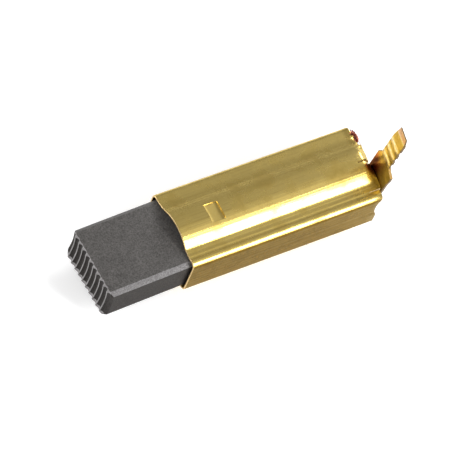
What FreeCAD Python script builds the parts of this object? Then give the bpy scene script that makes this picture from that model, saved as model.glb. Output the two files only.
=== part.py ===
import FreeCAD, Part
import math
import os

import Sketcher

# Carbon brush of a vacuum cleaner's motor: a grooved carbon block that slides in a folded
# brass sleeve, pushed out by a coil spring and wired to the sleeve by a copper shunt.
# +X runs from the mouth of the sleeve to its closed rear, +Z is the wide side with the
# stamped mark, and the origin is the middle of the mouth. All sizes are in millimetres.

V = FreeCAD.Vector

# Driving sizes: name, value, meaning
SIZES = [
    ("carbon_width", 11.0, "carbon block, across"),
    ("carbon_thickness", 6.1, "carbon block, between its wide faces"),
    ("carbon_length", 23.0, "carbon block, end to end"),
    ("carbon_reach", 12.8, "how far the carbon stands out of the sleeve"),
    ("push_in", 10.5, "travel of the carbon into the sleeve"),
    ("long_bevel", 0.62, "bevel on the long edges of the carbon"),
    ("side_bevel", 0.6, "bevel on the short upright edges of the contact face"),
    ("front_bevel", 0.22, "bevel on the wide edges of the contact face"),
    ("rear_bevel", 0.3, "bevel round the rear face of the carbon"),
    ("contact_radius", 16.0, "hollow of the contact face, to suit the commutator"),
    ("groove_count", 11, "grooves in the contact face"),
    ("groove_pitch", 1.0, "from one groove to the next"),
    ("groove_top", 0.86, "groove, across its open side"),
    ("groove_floor", 0.22, "groove, across its floor"),
    ("groove_depth", 0.36, "depth of a groove"),
    ("socket_radius", 1.6, "hole in the rear of the carbon"),
    ("socket_depth", 5.0, "depth of that hole"),
    ("socket_fit", 0.02, "gap round the copper plug and round the braid in it"),
    ("wall", 0.25, "brass sheet of the sleeve"),
    ("side_play", 0.3, "gap beside the carbon, on each side"),
    ("side_margin", 0.04, "what is left of that gap where the leaning carbon is closest"),
    ("face_play", 0.25, "gap over and under the carbon"),
    ("corner_radius", 0.65, "outer rounding of the long corners of the sleeve"),
    ("crown_radius", 4.95, "outer radius of the crowned walls, round the axis"),
    ("near_crease", 1.0, "hollow rounding between a crown and its near flat"),
    ("far_crease", 2.4, "hollow rounding between a crown and its far flat"),
    ("tube_length", 30.15, "sleeve, from its mouth to the rear end of its narrow walls"),
    ("near_set_back", 0.75, "near half of the upper crown, its fold before the walls' end"),
    ("far_set_back", 0.4, "far half of the upper crown, its fold before the walls' end"),
    ("seat_set_back", 0.7, "spring seat, its front before the walls' end"),
    ("seam_gap", 0.12, "open seam of the folded sheet"),
    ("notch_radius", 3.6, "curve of the cut-back in the narrow walls"),
    ("notch_depth", 0.65, "how far that curve cuts into the tube"),
    ("notch_height", 1.1, "middle of that curve above the axis"),
    ("mark_place", 6.05, "stamped mark, from the mouth"),
    ("mark_length", 2.15, "stamped mark, along the sleeve"),
    ("mark_width", 2.95, "stamped mark, across the sleeve"),
    ("mark_depth", 0.3, "stamped mark, depth at its middle"),
    ("mark_rounding", 0.25, "corners of the stamped mark"),
    ("seat_half_width", 3.3, "flap of the lower wall that carries the spring, half its width"),
    ("seat_top", 1.6, "top of that flap above the axis"),
    ("slot_near", 0.45, "slot between the two upper flaps, near side of the axis"),
    ("slot_far", 0.3, "the same slot, far side of the axis"),
    ("flap_outer", 3.7, "outer edge of the far upper flap, from the axis"),
    ("lip_outer", 3.0, "outer edge of its turned-down end, from the axis"),
    ("near_outer", 4.55, "outer edge of the near upper flap, from the axis"),
    ("flap_reach", 0.85, "back of the far flap behind the walls' end"),
    ("far_flap_end", 0.9, "lower end of the far flap above the axis"),
    ("strip_reach", 0.65, "end of the far flat strip behind the walls' end"),
    ("strip_side", 0.5, "how far that strip's corner reaches down the far wall"),
    ("plate_reach", 0.87, "terminal plate, its front behind the walls' end"),
    ("plate_y", 2.2, "terminal plate, its middle from the axis, near side"),
    ("plate_yaw", 9.0, "turn of the terminal plate about the upright, in degrees"),
    ("plate_roll", 4.0, "tilt of the terminal plate to the near side, in degrees"),
    ("plate_lean", 2.0, "tilt of the terminal plate to the rear, in degrees"),
    ("plate_thickness", 0.4, "brass sheet of the terminal plate"),
    ("plate_gap", 0.02, "between the terminal plate and the flap that it is welded to"),
    ("plate_far", 2.0, "terminal plate, from its middle to its far edge"),
    ("plate_near", 2.6, "terminal plate, from its middle to its near edge"),
    ("plate_foot", 5.2, "terminal plate, from the level of the flats down to its foot"),
    ("plate_shoulder", 3.1, "terminal plate, from the flats' level to its shoulders"),
    ("shoulder_rise", 0.95, "height of the sloping shoulders"),
    ("blade_width", 2.8, "terminal blade, across"),
    ("blade_top", 11.7, "terminal blade, its tip above the flats' level"),
    ("far_taper", 2.6, "tapered tip of the blade, along its far edge"),
    ("near_taper", 1.5, "tapered tip of the blade, along its near edge"),
    ("tip_taper", 0.33, "what the taper takes off each side of the blade"),
    ("coin_length", 1.0, "flattened end of the tip, along it"),
    ("coin_depth", 0.13, "what the flattened end loses on each face"),
    ("rib_count", 3, "ribs across the blade"),
    ("rib_pitch", 1.78, "from one rib to the next"),
    ("rib_first", 4.55, "first rib above the flats' level"),
    ("rib_width", 1.15, "a rib, along the blade"),
    ("rib_height", 0.17, "height of a rib over the face"),
    ("flat_low", 1.7, "flattened near shoulder of the plate, its lower end above the flats"),
    ("flat_width", 0.85, "that flattening, from the plate's near edge"),
    ("flat_depth", 0.16, "depth of that flattening at the edge"),
    ("rib_inset", 0.1, "end of a rib from the edge of the blade"),
    ("fold_far", 1.75, "near flap, from the plate's middle to its far corner"),
    ("fold_far_drop", 0.75, "that far corner below the flats' level"),
    ("fold_middle", 1.3, "near flap, from the plate's middle to where its fold is level"),
    ("fold_near", 2.35, "near flap, from the plate's middle to its near edge"),
    ("fold_rise", 0.1, "level part of that fold above the flats' level"),
    ("near_lip_drop", 4.8, "near flap, from the flats' level down to its end"),
    ("band_radius", 6.0, "curve of the pressed-down ends of the upper flaps"),
    ("band_crown", 0.1, "rise of the far flap's end beside the slot"),
    ("wire_diameter", 0.55, "spring wire"),
    ("spring_radius", 3.95, "spring, from its axis to the middle of the wire"),
    ("coil_count", 7, "open coils of the spring"),
    ("closed_pitch", 0.6, "advance of the closed coil at each end"),
    ("wire_sides", 6, "sides of the spring wire, which look round at its size"),
    ("end_gap", 0.2, "between each end of the spring and what it pushes on"),
    ("braid_diameter", 0.95, "copper shunt braid"),
    ("braid_hold", 3.6, "length of the braid inside the carbon"),
    ("braid_rise", 6.0, "where the braid starts to rise, before the seat flap"),
    ("braid_over", 0.42, "its gap over the top of that flap"),
    ("braid_level", 2.7, "height of the braid behind the seat flap"),
    ("braid_exit", 3.35, "where it turns outwards beside the far flap, from the axis"),
    ("braid_turn", 4.5, "where it turns along the rear again, from the axis"),
    ("braid_out", 5.25, "end of the braid at the far corner, from the axis"),
    ("braid_reach", 1.1, "end of the braid behind the walls' end"),
    ("wide_bend", 5.5, "bends of the braid inside the spring"),
    ("tight_bend", 0.7, "bends of the braid behind the seat flap"),
]

doc = FreeCAD.newDocument("carbon_brush")
sheet = doc.addObject("Spreadsheet::Sheet", "Sizes")
for row, (alias, size, meaning) in enumerate(SIZES, start=1):
    sheet.set(f"A{row}", alias)
    sheet.set(f"B{row}", str(size))
    sheet.set(f"C{row}", meaning)
    sheet.setAlias(f"B{row}", alias)
doc.recompute()

# Sizes that follow from the driving ones, as expressions
HALF_CARBON = "(Sizes.carbon_width / 2)"
HALF_BLOCK = "(Sizes.carbon_thickness / 2)"
CARBON_REAR = "(Sizes.carbon_length - Sizes.carbon_reach)"
HALF_WIDTH = f"({HALF_CARBON} + Sizes.side_play + Sizes.wall)"
HALF_HEIGHT = f"({HALF_BLOCK} + Sizes.face_play + Sizes.wall)"
INNER_HEIGHT = f"({HALF_HEIGHT} - Sizes.wall)"
CROWN_EDGE = f"sqrt(Sizes.crown_radius ^ 2 - {HALF_HEIGHT} ^ 2)"
INNER_CROWN = "(Sizes.crown_radius - Sizes.wall)"
HOLLOW_X = f"(Sizes.carbon_reach + sqrt(Sizes.contact_radius ^ 2 - {HALF_BLOCK} ^ 2))"
SEAT_X = "(Sizes.tube_length - Sizes.seat_set_back)"
NEAR_FOLD = "(Sizes.tube_length - Sizes.near_set_back)"
FAR_FOLD = "(Sizes.tube_length - Sizes.far_set_back)"
LIP_X = "(Sizes.tube_length + Sizes.flap_reach - Sizes.wall)"
STRIP_END = "(Sizes.tube_length + Sizes.strip_reach)"
PLATE_X = "(Sizes.tube_length + Sizes.plate_reach)"
HALF_MARK_LENGTH = "(Sizes.mark_length / 2)"
HALF_MARK_WIDTH = "(Sizes.mark_width / 2)"
MARK_UNDER = "(Sizes.crown_radius - Sizes.mark_depth - Sizes.wall)"
CLEAR = "(Sizes.crown_radius + Sizes.wall)"
# The carbon leans sideways by what its play allows over the whole travel
LEAN = (
    "asin((2 * Sizes.side_play - 2 * Sizes.side_margin)"
    f" / ({CARBON_REAR} + Sizes.push_in))"
)
CARBON_SHIFT = (
    f"(Sizes.side_play - Sizes.side_margin - {CARBON_REAR} * tan({LEAN}))"
)


def size(expression):
    """The number that an expression of the sheet's sizes stands for."""
    found = sheet.evalExpression(expression)
    return float(getattr(found, "Value", found))


def new_body(name):
    body = doc.addObject("PartDesign::Body", name)
    body.Label = name
    return body


def origin_plane(body, role):
    return next(part for part in body.Origin.OriginFeatures if part.Role == role)


def new_sketch(body, name, role, raised=None, turned=None):
    """A sketch on an origin plane of its body, raised along the plane's normal."""
    sketch = body.newObject("Sketcher::SketchObject", name)
    sketch.AttachmentSupport = [(origin_plane(body, role), "")]
    sketch.MapMode = "FlatFace"
    if raised:
        sketch.setExpression("AttachmentOffset.Base.z", raised)
    if turned:
        sketch.setExpression("AttachmentOffset", turned)
    return sketch


def bind(sketch, constraint, expression, name):
    """Adds a dimension to a sketch and ties it to the sheet."""
    index = sketch.addConstraint(constraint)
    sketch.renameConstraint(index, name)
    sketch.setExpression(f"Constraints.{name}", expression)


def outline(sketch, corners, arcs=None):
    """A closed outline through corners, given as pairs of expressions.

    arcs gives the edges that are round: their number, their radius and whether the
    centre lies to the left or to the right of the way round.
    """
    arcs = arcs or {}
    places = [V(size(x), size(y), 0) for x, y in corners]
    first = sketch.GeometryCount
    ends = []
    for number, start in enumerate(places):
        end = places[(number + 1) % len(places)]
        if number in arcs:
            radius, side = arcs[number]
            reach = size(radius)
            chord = end - start
            left = V(-chord.y, chord.x, 0).normalize()
            rise = math.sqrt(reach**2 - (chord.Length / 2) ** 2)
            sign = 1 if side == "left" else -1
            centre = (start + end) / 2 + left * (rise * sign)
            a, b = (start, end) if sign > 0 else (end, start)
            turn_a = math.atan2(a.y - centre.y, a.x - centre.x)
            turn_b = math.atan2(b.y - centre.y, b.x - centre.x)
            circle = Part.Circle(centre, V(0, 0, 1), reach)
            sketch.addGeometry(Part.ArcOfCircle(circle, turn_a, turn_b), False)
            ends.append((1, 2) if sign > 0 else (2, 1))
        else:
            sketch.addGeometry(Part.LineSegment(start, end), False)
            ends.append((1, 2))
    for number in range(len(places)):
        after = (number + 1) % len(places)
        sketch.addConstraint(
            Sketcher.Constraint(
                "Coincident", first + number, ends[number][1], first + after, ends[after][0]
            )
        )
    for number, (x, y) in enumerate(corners):
        edge, point = first + number, ends[number][0]
        across = Sketcher.Constraint("DistanceX", -1, 1, edge, point, places[number].x)
        up = Sketcher.Constraint("DistanceY", -1, 1, edge, point, places[number].y)
        bind(sketch, across, x, f"x{edge}")
        bind(sketch, up, y, f"y{edge}")
    for number, (radius, side) in arcs.items():
        edge = first + number
        bind(sketch, Sketcher.Constraint("Radius", edge, size(radius)), radius, f"r{edge}")
    doc.recompute()


def rectangle(sketch, low_x, high_x, low_y, high_y):
    outline(sketch, [(low_x, low_y), (high_x, low_y), (high_x, high_y), (low_x, high_y)])


def circle(sketch, x, y, radius):
    """A circle whose centre is a pair of expressions, or the origin where both are None."""
    centre = V(size(x) if x else 0, size(y) if y else 0, 0)
    edge = sketch.addGeometry(Part.Circle(centre, V(0, 0, 1), size(radius)), False)
    if x is None and y is None:
        sketch.addConstraint(Sketcher.Constraint("Coincident", edge, 3, -1, 1))
    else:
        if x:
            bind(sketch, Sketcher.Constraint("DistanceX", -1, 1, edge, 3, centre.x), x, f"x{edge}")
        else:
            sketch.addConstraint(Sketcher.Constraint("PointOnObject", edge, 3, -2))
        if y:
            bind(sketch, Sketcher.Constraint("DistanceY", -1, 1, edge, 3, centre.y), y, f"y{edge}")
        else:
            sketch.addConstraint(Sketcher.Constraint("PointOnObject", edge, 3, -1))
    bind(sketch, Sketcher.Constraint("Radius", edge, size(radius)), radius, f"r{edge}")
    doc.recompute()


def pad(body, sketch, name, length, back=None, reverse=False):
    """Extrudes a sketch along its plane's normal, and backwards too where back is given."""
    feature = body.newObject("PartDesign::Pad", name)
    feature.Profile = sketch
    feature.setExpression("Length", length)
    if back:
        feature.SideType = "Two sides"
        feature.setExpression("Length2", back)
    feature.Reversed = reverse
    doc.recompute()
    return feature


def cut(body, sketch, name, depth=None, reverse=False):
    """Cuts a sketch out of its body: to a depth, or both ways right through."""
    before = body.Shape.Volume
    feature = body.newObject("PartDesign::Pocket", name)
    feature.Profile = sketch
    if depth:
        feature.setExpression("Length", depth)
        feature.Reversed = reverse
    else:
        feature.Type = "ThroughAll"
        feature.SideType = "Symmetric"
    doc.recompute()
    if feature.Shape.Volume > before - 1e-6:
        raise RuntimeError(f"{name} cuts nothing")
    return feature


def dress(body, kind, name, test, amount):
    """A Fillet or Chamfer on the edges that pass a test."""
    base = body.Tip
    edges = [f"Edge{n}" for n, edge in enumerate(base.Shape.Edges, start=1) if test(edge)]
    if not edges:
        raise RuntimeError(f"{name} finds no edges")
    feature = body.newObject(f"PartDesign::{kind}", name)
    feature.Base = (base, edges)
    feature.setExpression("Radius" if kind == "Fillet" else "Size", amount)
    doc.recompute()
    return feature


def near(a, b):
    return abs(a - b) < 1e-4


def along(edge, axis):
    """True for a straight edge parallel to X, Y or Z."""
    box = edge.BoundBox
    lengths = {"X": box.XLength, "Y": box.YLength, "Z": box.ZLength}
    others = [length for name, length in lengths.items() if name != axis]
    return lengths[axis] > 1e-3 and max(others) < 1e-4


def lean_carbon(body):
    """Turns a body with the leaning carbon, about the middle of the mouth."""
    body.setExpression("Placement.Base.y", CARBON_SHIFT)
    body.Placement = FreeCAD.Placement(V(0, 0, 0), FreeCAD.Rotation(V(0, 0, 1), 1))
    body.setExpression("Placement.Rotation.Angle", LEAN)


def make_carbon():
    """Pressed carbon: bevelled block, hollow grooved contact face, socket for the shunt."""
    body = new_body("carbon_block")
    section = new_sketch(body, "carbon_section", "YZ_Plane")
    rectangle(section, f"-{HALF_CARBON}", HALF_CARBON, f"-{HALF_BLOCK}", HALF_BLOCK)
    pad(body, section, "block", CARBON_REAR, back="Sizes.carbon_reach")
    dress(body, "Chamfer", "long_bevels", lambda edge: along(edge, "X"), "Sizes.long_bevel")
    rear_x = size(CARBON_REAR)
    dress(
        body, "Chamfer", "rear_bevels",
        lambda edge: near(edge.BoundBox.XMin, rear_x), "Sizes.rear_bevel",
    )

    hollow = new_sketch(body, "contact_hollow", "XZ_Plane")
    circle(hollow, f"-{HOLLOW_X}", None, "Sizes.contact_radius")
    cut(body, hollow, "contact_face")
    front_x = -size("Sizes.carbon_reach")
    side_y = size(HALF_CARBON)
    top_z = size(HALF_BLOCK)
    dress(
        body, "Chamfer", "side_bevels",
        lambda edge: edge.BoundBox.XMax < front_x + 1 and near(abs(edge.CenterOfMass.y), side_y),
        "Sizes.side_bevel",
    )
    dress(
        body, "Chamfer", "front_bevels",
        lambda edge: edge.BoundBox.XMax < front_x + 1 and near(abs(edge.CenterOfMass.z), top_z),
        "Sizes.front_bevel",
    )

    # A groove is a ring round the commutator's axis, cut once and repeated across the face
    ring = new_sketch(body, "groove_ring", "XY_Plane")
    face_x = f"-({HOLLOW_X} - Sizes.contact_radius)"
    first_y = "Sizes.groove_pitch * (Sizes.groove_count - 1) / 2"
    rise = "Sizes.groove_depth"
    flare = "(Sizes.groove_top - Sizes.groove_floor) / 2"
    outline(
        ring,
        [
            (f"{face_x} + {rise}", f"-({first_y}) - Sizes.groove_floor / 2"),
            (f"{face_x} + {rise}", f"-({first_y}) + Sizes.groove_floor / 2"),
            (f"{face_x} - {rise}", f"-({first_y}) + Sizes.groove_floor / 2 + 2 * {flare}"),
            (f"{face_x} - {rise}", f"-({first_y}) - Sizes.groove_floor / 2 - 2 * {flare}"),
        ],
    )
    axis_x = -size(HOLLOW_X)
    axis = ring.addGeometry(Part.LineSegment(V(axis_x, -1, 0), V(axis_x, 1, 0)), True)
    ring.addConstraint(Sketcher.Constraint("Symmetric", axis, 1, axis, 2, -1))
    bind(
        ring, Sketcher.Constraint("DistanceX", -1, 1, axis, 1, axis_x), f"-{HOLLOW_X}", "axis_x"
    )
    bind(
        ring, Sketcher.Constraint("DistanceY", axis, 1, axis, 2, 2.0), "Sizes.groove_pitch * 2",
        "axis_length",
    )
    doc.recompute()
    groove = body.newObject("PartDesign::Groove", "groove")
    groove.Profile = ring
    groove.ReferenceAxis = (ring, ["Axis0"])
    groove.Angle = 360
    doc.recompute()
    grooves = body.newObject("PartDesign::LinearPattern", "grooves")
    grooves.Originals = [groove]
    grooves.Direction = (ring, ["V_Axis"])
    grooves.setExpression("Length", "Sizes.groove_pitch * (Sizes.groove_count - 1)")
    grooves.setExpression("Occurrences", "Sizes.groove_count")
    body.Tip = grooves
    doc.recompute()

    socket = new_sketch(body, "socket_outline", "YZ_Plane", raised=CARBON_REAR)
    circle(socket, None, None, "Sizes.socket_radius")
    cut(body, socket, "socket", "Sizes.socket_depth")
    lean_carbon(body)
    return body


def make_plug():
    """Copper powder, tamped round the braid in the socket of the carbon."""
    body = new_body("tamped_plug")
    ring = new_sketch(body, "plug_outline", "YZ_Plane", raised=CARBON_REAR)
    circle(ring, None, None, "Sizes.socket_radius - Sizes.socket_fit")
    circle(ring, None, None, "Sizes.braid_diameter / 2 + Sizes.socket_fit")
    pad(body, ring, "plug", "Sizes.socket_depth - Sizes.socket_fit", reverse=True)
    lean_carbon(body)
    return body


def in_plate_frame(x_offset):
    """The terminal plate's frame, as an offset from the YZ plane of a body."""
    return (
        f"placement(vector(-Sizes.plate_y; {HALF_HEIGHT}; {PLATE_X});"
        " rotation(vector(0; 1; 0); -Sizes.plate_yaw)"
        " * rotation(vector(1; 0; 0); Sizes.plate_lean)"
        " * rotation(vector(0; 0; 1); Sizes.plate_roll))"
        f" * placement(vector(0; 0; {x_offset}); rotation(vector(0; 0; 1); 0))"
    )


def loft(body, name, first, last):
    feature = body.newObject("PartDesign::AdditiveLoft", name)
    feature.Profile = first
    feature.Sections = [last]
    feature.Ruled = True
    doc.recompute()
    return feature


def crown_top(y):
    return f"sqrt(Sizes.crown_radius ^ 2 - {y} ^ 2)"


def crown_under(y):
    return f"sqrt({INNER_CROWN} ^ 2 - {y} ^ 2)"


def make_mark(body):
    """The stamped rectangle: sheet pushed in flat, with the same wall under it."""
    boss = new_sketch(body, "mark_boss_outline", "XY_Plane", raised=MARK_UNDER)
    half_boss = f"({HALF_MARK_LENGTH} + Sizes.wall / 2)"
    half_boss_width = f"({HALF_MARK_WIDTH} + Sizes.wall / 2)"
    rectangle(
        boss, f"Sizes.mark_place - {half_boss}", f"Sizes.mark_place + {half_boss}",
        f"-{half_boss_width}", half_boss_width,
    )
    pad(body, boss, "mark_boss", "Sizes.wall + 0.02")
    mark = new_sketch(body, "mark_outline", "XY_Plane", raised=f"{MARK_UNDER} + Sizes.wall")
    rectangle(
        mark, f"Sizes.mark_place - {HALF_MARK_LENGTH}", f"Sizes.mark_place + {HALF_MARK_LENGTH}",
        f"-{HALF_MARK_WIDTH}", HALF_MARK_WIDTH,
    )
    cut(body, mark, "mark", "Sizes.crown_radius", reverse=True)
    mark_x, mark_y = size(HALF_MARK_LENGTH), size(HALF_MARK_WIDTH)
    mark_middle = size("Sizes.mark_place")

    def mark_corner(edge):
        place = edge.CenterOfMass
        beside = near(abs(place.x - mark_middle), mark_x) and near(abs(place.y), mark_y)
        return along(edge, "Z") and beside

    dress(body, "Fillet", "mark_corners", mark_corner, "Sizes.mark_rounding")


def make_far_strip(body):
    """The far flat strip and its corner run on beyond the cut-back of the walls."""
    side_z = f"({HALF_HEIGHT} - Sizes.corner_radius)"
    side_y = f"({HALF_WIDTH} - Sizes.corner_radius)"
    low_z = f"({side_z} - Sizes.strip_side)"
    inner_z = f"({HALF_HEIGHT} - Sizes.wall)"
    inner_y = f"({HALF_WIDTH} - Sizes.wall)"
    inner_radius = "(Sizes.corner_radius - Sizes.wall)"
    strip = new_sketch(body, "strip_section", "YZ_Plane", raised=SEAT_X)
    outline(
        strip,
        [
            ("Sizes.flap_outer", inner_z), (side_y, inner_z), (inner_y, side_z),
            (inner_y, low_z), (HALF_WIDTH, low_z), (HALF_WIDTH, side_z),
            (side_y, HALF_HEIGHT), ("Sizes.flap_outer", HALF_HEIGHT),
        ],
        arcs={1: (inner_radius, "right"), 5: ("Sizes.corner_radius", "left")},
    )
    pad(body, strip, "far_strip", f"{STRIP_END} - {SEAT_X}")


def make_far_flap(body):
    """Far half of the upper crown: pressed down to the strip, then turned down."""
    start = new_sketch(body, "far_flap_start", "YZ_Plane", raised=FAR_FOLD)
    outline(
        start,
        [
            (CROWN_EDGE, HALF_HEIGHT),
            ("Sizes.slot_far", crown_top("Sizes.slot_far")),
            ("Sizes.slot_far", crown_under("Sizes.slot_far")),
            (CROWN_EDGE, crown_under(CROWN_EDGE)),
        ],
        arcs={0: ("Sizes.crown_radius", "left"), 2: (INNER_CROWN, "right")},
    )
    end = new_sketch(body, "far_flap_end_band", "YZ_Plane", raised=LIP_X)
    band_outer = "(Sizes.flap_outer + Sizes.wall)"
    outline(
        end,
        [
            (band_outer, HALF_HEIGHT), ("Sizes.slot_far", f"{HALF_HEIGHT} + Sizes.band_crown"),
            ("Sizes.slot_far", f"{INNER_HEIGHT} + Sizes.band_crown"), (band_outer, INNER_HEIGHT),
        ],
        arcs={0: ("Sizes.band_radius", "left"), 2: ("(Sizes.band_radius - Sizes.wall)", "right")},
    )
    loft(body, "far_flap", start, end)
    lip = new_sketch(body, "far_lip_outline", "YZ_Plane", raised=LIP_X)
    outline(
        lip,
        [
            (band_outer, HALF_HEIGHT), ("Sizes.slot_far", f"{HALF_HEIGHT} + Sizes.band_crown"),
            ("Sizes.slot_far", "Sizes.far_flap_end"), ("Sizes.lip_outer", "Sizes.far_flap_end"),
            ("Sizes.lip_outer", INNER_HEIGHT), (band_outer, INNER_HEIGHT),
        ],
        arcs={0: ("Sizes.band_radius", "left")},
    )
    pad(body, lip, "far_lip", "Sizes.wall")


def near_band(sketch, drop):
    """The fold line of the near flap on the terminal plate, closed at a level or a depth."""
    top = [
        ("Sizes.fold_far", "-Sizes.fold_far_drop"), ("-Sizes.fold_middle", "Sizes.fold_rise"),
        ("-Sizes.fold_near", "Sizes.fold_rise"),
    ]
    if drop:
        low = [("-Sizes.fold_near", f"-{drop}"), ("Sizes.fold_far", f"-{drop}")]
        arcs = {0: ("Sizes.band_radius", "left")}
    else:
        low = [(y, f"({z} - Sizes.wall)") for y, z in reversed(top)]
        arcs = {
            0: ("Sizes.band_radius", "left"),
            4: ("(Sizes.band_radius - Sizes.wall)", "right"),
        }
    outline(sketch, top + low, arcs)


def make_near_flap(body):
    """Near half of the upper crown: pressed down askew and turned down before the plate."""
    start = new_sketch(body, "near_flap_start", "YZ_Plane", raised=NEAR_FOLD)
    inner_edge = f"sqrt({INNER_CROWN} ^ 2 - {INNER_HEIGHT} ^ 2)"
    outline(
        start,
        [
            ("-Sizes.slot_near", crown_top("Sizes.slot_near")),
            (f"-{CROWN_EDGE}", HALF_HEIGHT), ("-Sizes.near_outer", HALF_HEIGHT),
            ("-Sizes.near_outer", INNER_HEIGHT), (f"-{inner_edge}", INNER_HEIGHT),
            ("-Sizes.slot_near", crown_under("Sizes.slot_near")),
        ],
        arcs={0: ("Sizes.crown_radius", "left"), 4: (INNER_CROWN, "right")},
    )
    lip_front = in_plate_frame("-(Sizes.plate_gap + Sizes.wall)")
    end = new_sketch(body, "near_flap_end", "YZ_Plane", turned=lip_front)
    near_band(end, None)
    loft(body, "near_flap", start, end)
    lip = new_sketch(body, "near_lip_outline", "YZ_Plane", turned=lip_front)
    near_band(lip, "Sizes.near_lip_drop")
    pad(body, lip, "near_lip", "Sizes.wall")


def make_sleeve():
    """Folded brass sheet: crowned tube, stamped mark, flaps that close its rear."""
    body = new_body("brass_sleeve")
    tube_end = size("Sizes.tube_length")
    section = new_sketch(body, "flat_section", "YZ_Plane")
    rectangle(section, f"-{HALF_WIDTH}", HALF_WIDTH, f"-{HALF_HEIGHT}", HALF_HEIGHT)
    pad(body, section, "flat_tube", "Sizes.tube_length")
    dress(body, "Fillet", "long_corners", lambda edge: along(edge, "X"), "Sizes.corner_radius")
    crown = new_sketch(body, "crown_section", "YZ_Plane")
    circle(crown, None, None, "Sizes.crown_radius")
    pad(body, crown, "crowned_tube", "Sizes.tube_length")
    crown_edge = size(CROWN_EDGE)
    for side, sign in (("near", -1), ("far", 1)):
        dress(
            body, "Fillet", f"{side}_creases",
            lambda edge, y=sign * crown_edge: along(edge, "X") and near(edge.CenterOfMass.y, y),
            f"Sizes.{side}_crease",
        )
    base = body.Tip
    ends = [
        f"Face{n}"
        for n, face in enumerate(base.Shape.Faces, start=1)
        if near(face.BoundBox.XMax, 0) or near(face.BoundBox.XMin, tube_end)
    ]
    shell = body.newObject("PartDesign::Thickness", "sheet")
    shell.Base = (base, ends)
    shell.setExpression("Value", "Sizes.wall")
    doc.recompute()

    make_mark(body)
    seam = new_sketch(body, "seam_outline", "XZ_Plane")
    rectangle(
        seam, "-Sizes.wall", "Sizes.tube_length + Sizes.wall",
        "-Sizes.seam_gap / 2", "Sizes.seam_gap / 2",
    )
    cut(body, seam, "seam", "Sizes.carbon_width")
    notch = new_sketch(body, "notch_outline", "XZ_Plane")
    circle(
        notch,
        "Sizes.tube_length - Sizes.notch_depth + Sizes.notch_radius",
        "Sizes.notch_height",
        "Sizes.notch_radius",
    )
    cut(body, notch, "side_notches")

    # The crowned walls end early, where they are folded
    for name, fold, low_y, high_y, low_z, high_z in (
        ("near_fold", NEAR_FOLD, "-Sizes.near_outer", "0", "Sizes.strip_side", CLEAR),
        ("far_fold", FAR_FOLD, "-Sizes.slot_near", "Sizes.flap_outer", "Sizes.strip_side", CLEAR),
        ("seat_fold", f"{SEAT_X} + Sizes.wall", f"-{CROWN_EDGE}", CROWN_EDGE, f"-{CLEAR}", "0"),
    ):
        relief = new_sketch(body, f"{name}_outline", "YZ_Plane", raised=fold)
        rectangle(relief, low_y, high_y, low_z, high_z)
        cut(body, relief, name, "Sizes.tube_length", reverse=True)

    # The lower wall ends in a flap that stands up inside and carries the spring
    seat = new_sketch(body, "seat_outline", "YZ_Plane", raised=SEAT_X)
    seat_low = "-sqrt((Sizes.crown_radius - Sizes.wall / 2) ^ 2 - Sizes.seat_half_width ^ 2)"
    outline(
        seat,
        [
            ("-Sizes.seat_half_width", seat_low),
            ("Sizes.seat_half_width", seat_low),
            ("Sizes.seat_half_width", "Sizes.seat_top"),
            ("-Sizes.seat_half_width", "Sizes.seat_top"),
        ],
        arcs={0: ("Sizes.crown_radius - Sizes.wall / 2", "left")},
    )
    pad(body, seat, "spring_seat", "Sizes.wall")
    make_far_strip(body)
    make_far_flap(body)
    make_near_flap(body)
    return body


def rib_arch(sketch, face_x):
    """The arched section of the first rib on a face of the blade."""
    radius = "((Sizes.rib_width ^ 2 / 4 + Sizes.rib_height ^ 2) / (2 * Sizes.rib_height))"
    outline(
        sketch,
        [
            (face_x, "Sizes.rib_first - Sizes.rib_width / 2"),
            (face_x, "Sizes.rib_first + Sizes.rib_width / 2"),
        ],
        arcs={0: (radius, "right")},
    )


def repeat_ribs(body, name, sketch, feature):
    pattern = body.newObject("PartDesign::LinearPattern", name)
    pattern.Originals = [feature]
    pattern.Direction = (sketch, ["V_Axis"])
    pattern.setExpression("Length", "Sizes.rib_pitch * (Sizes.rib_count - 1)")
    pattern.setExpression("Occurrences", "Sizes.rib_count")
    body.Tip = pattern
    doc.recompute()


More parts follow.
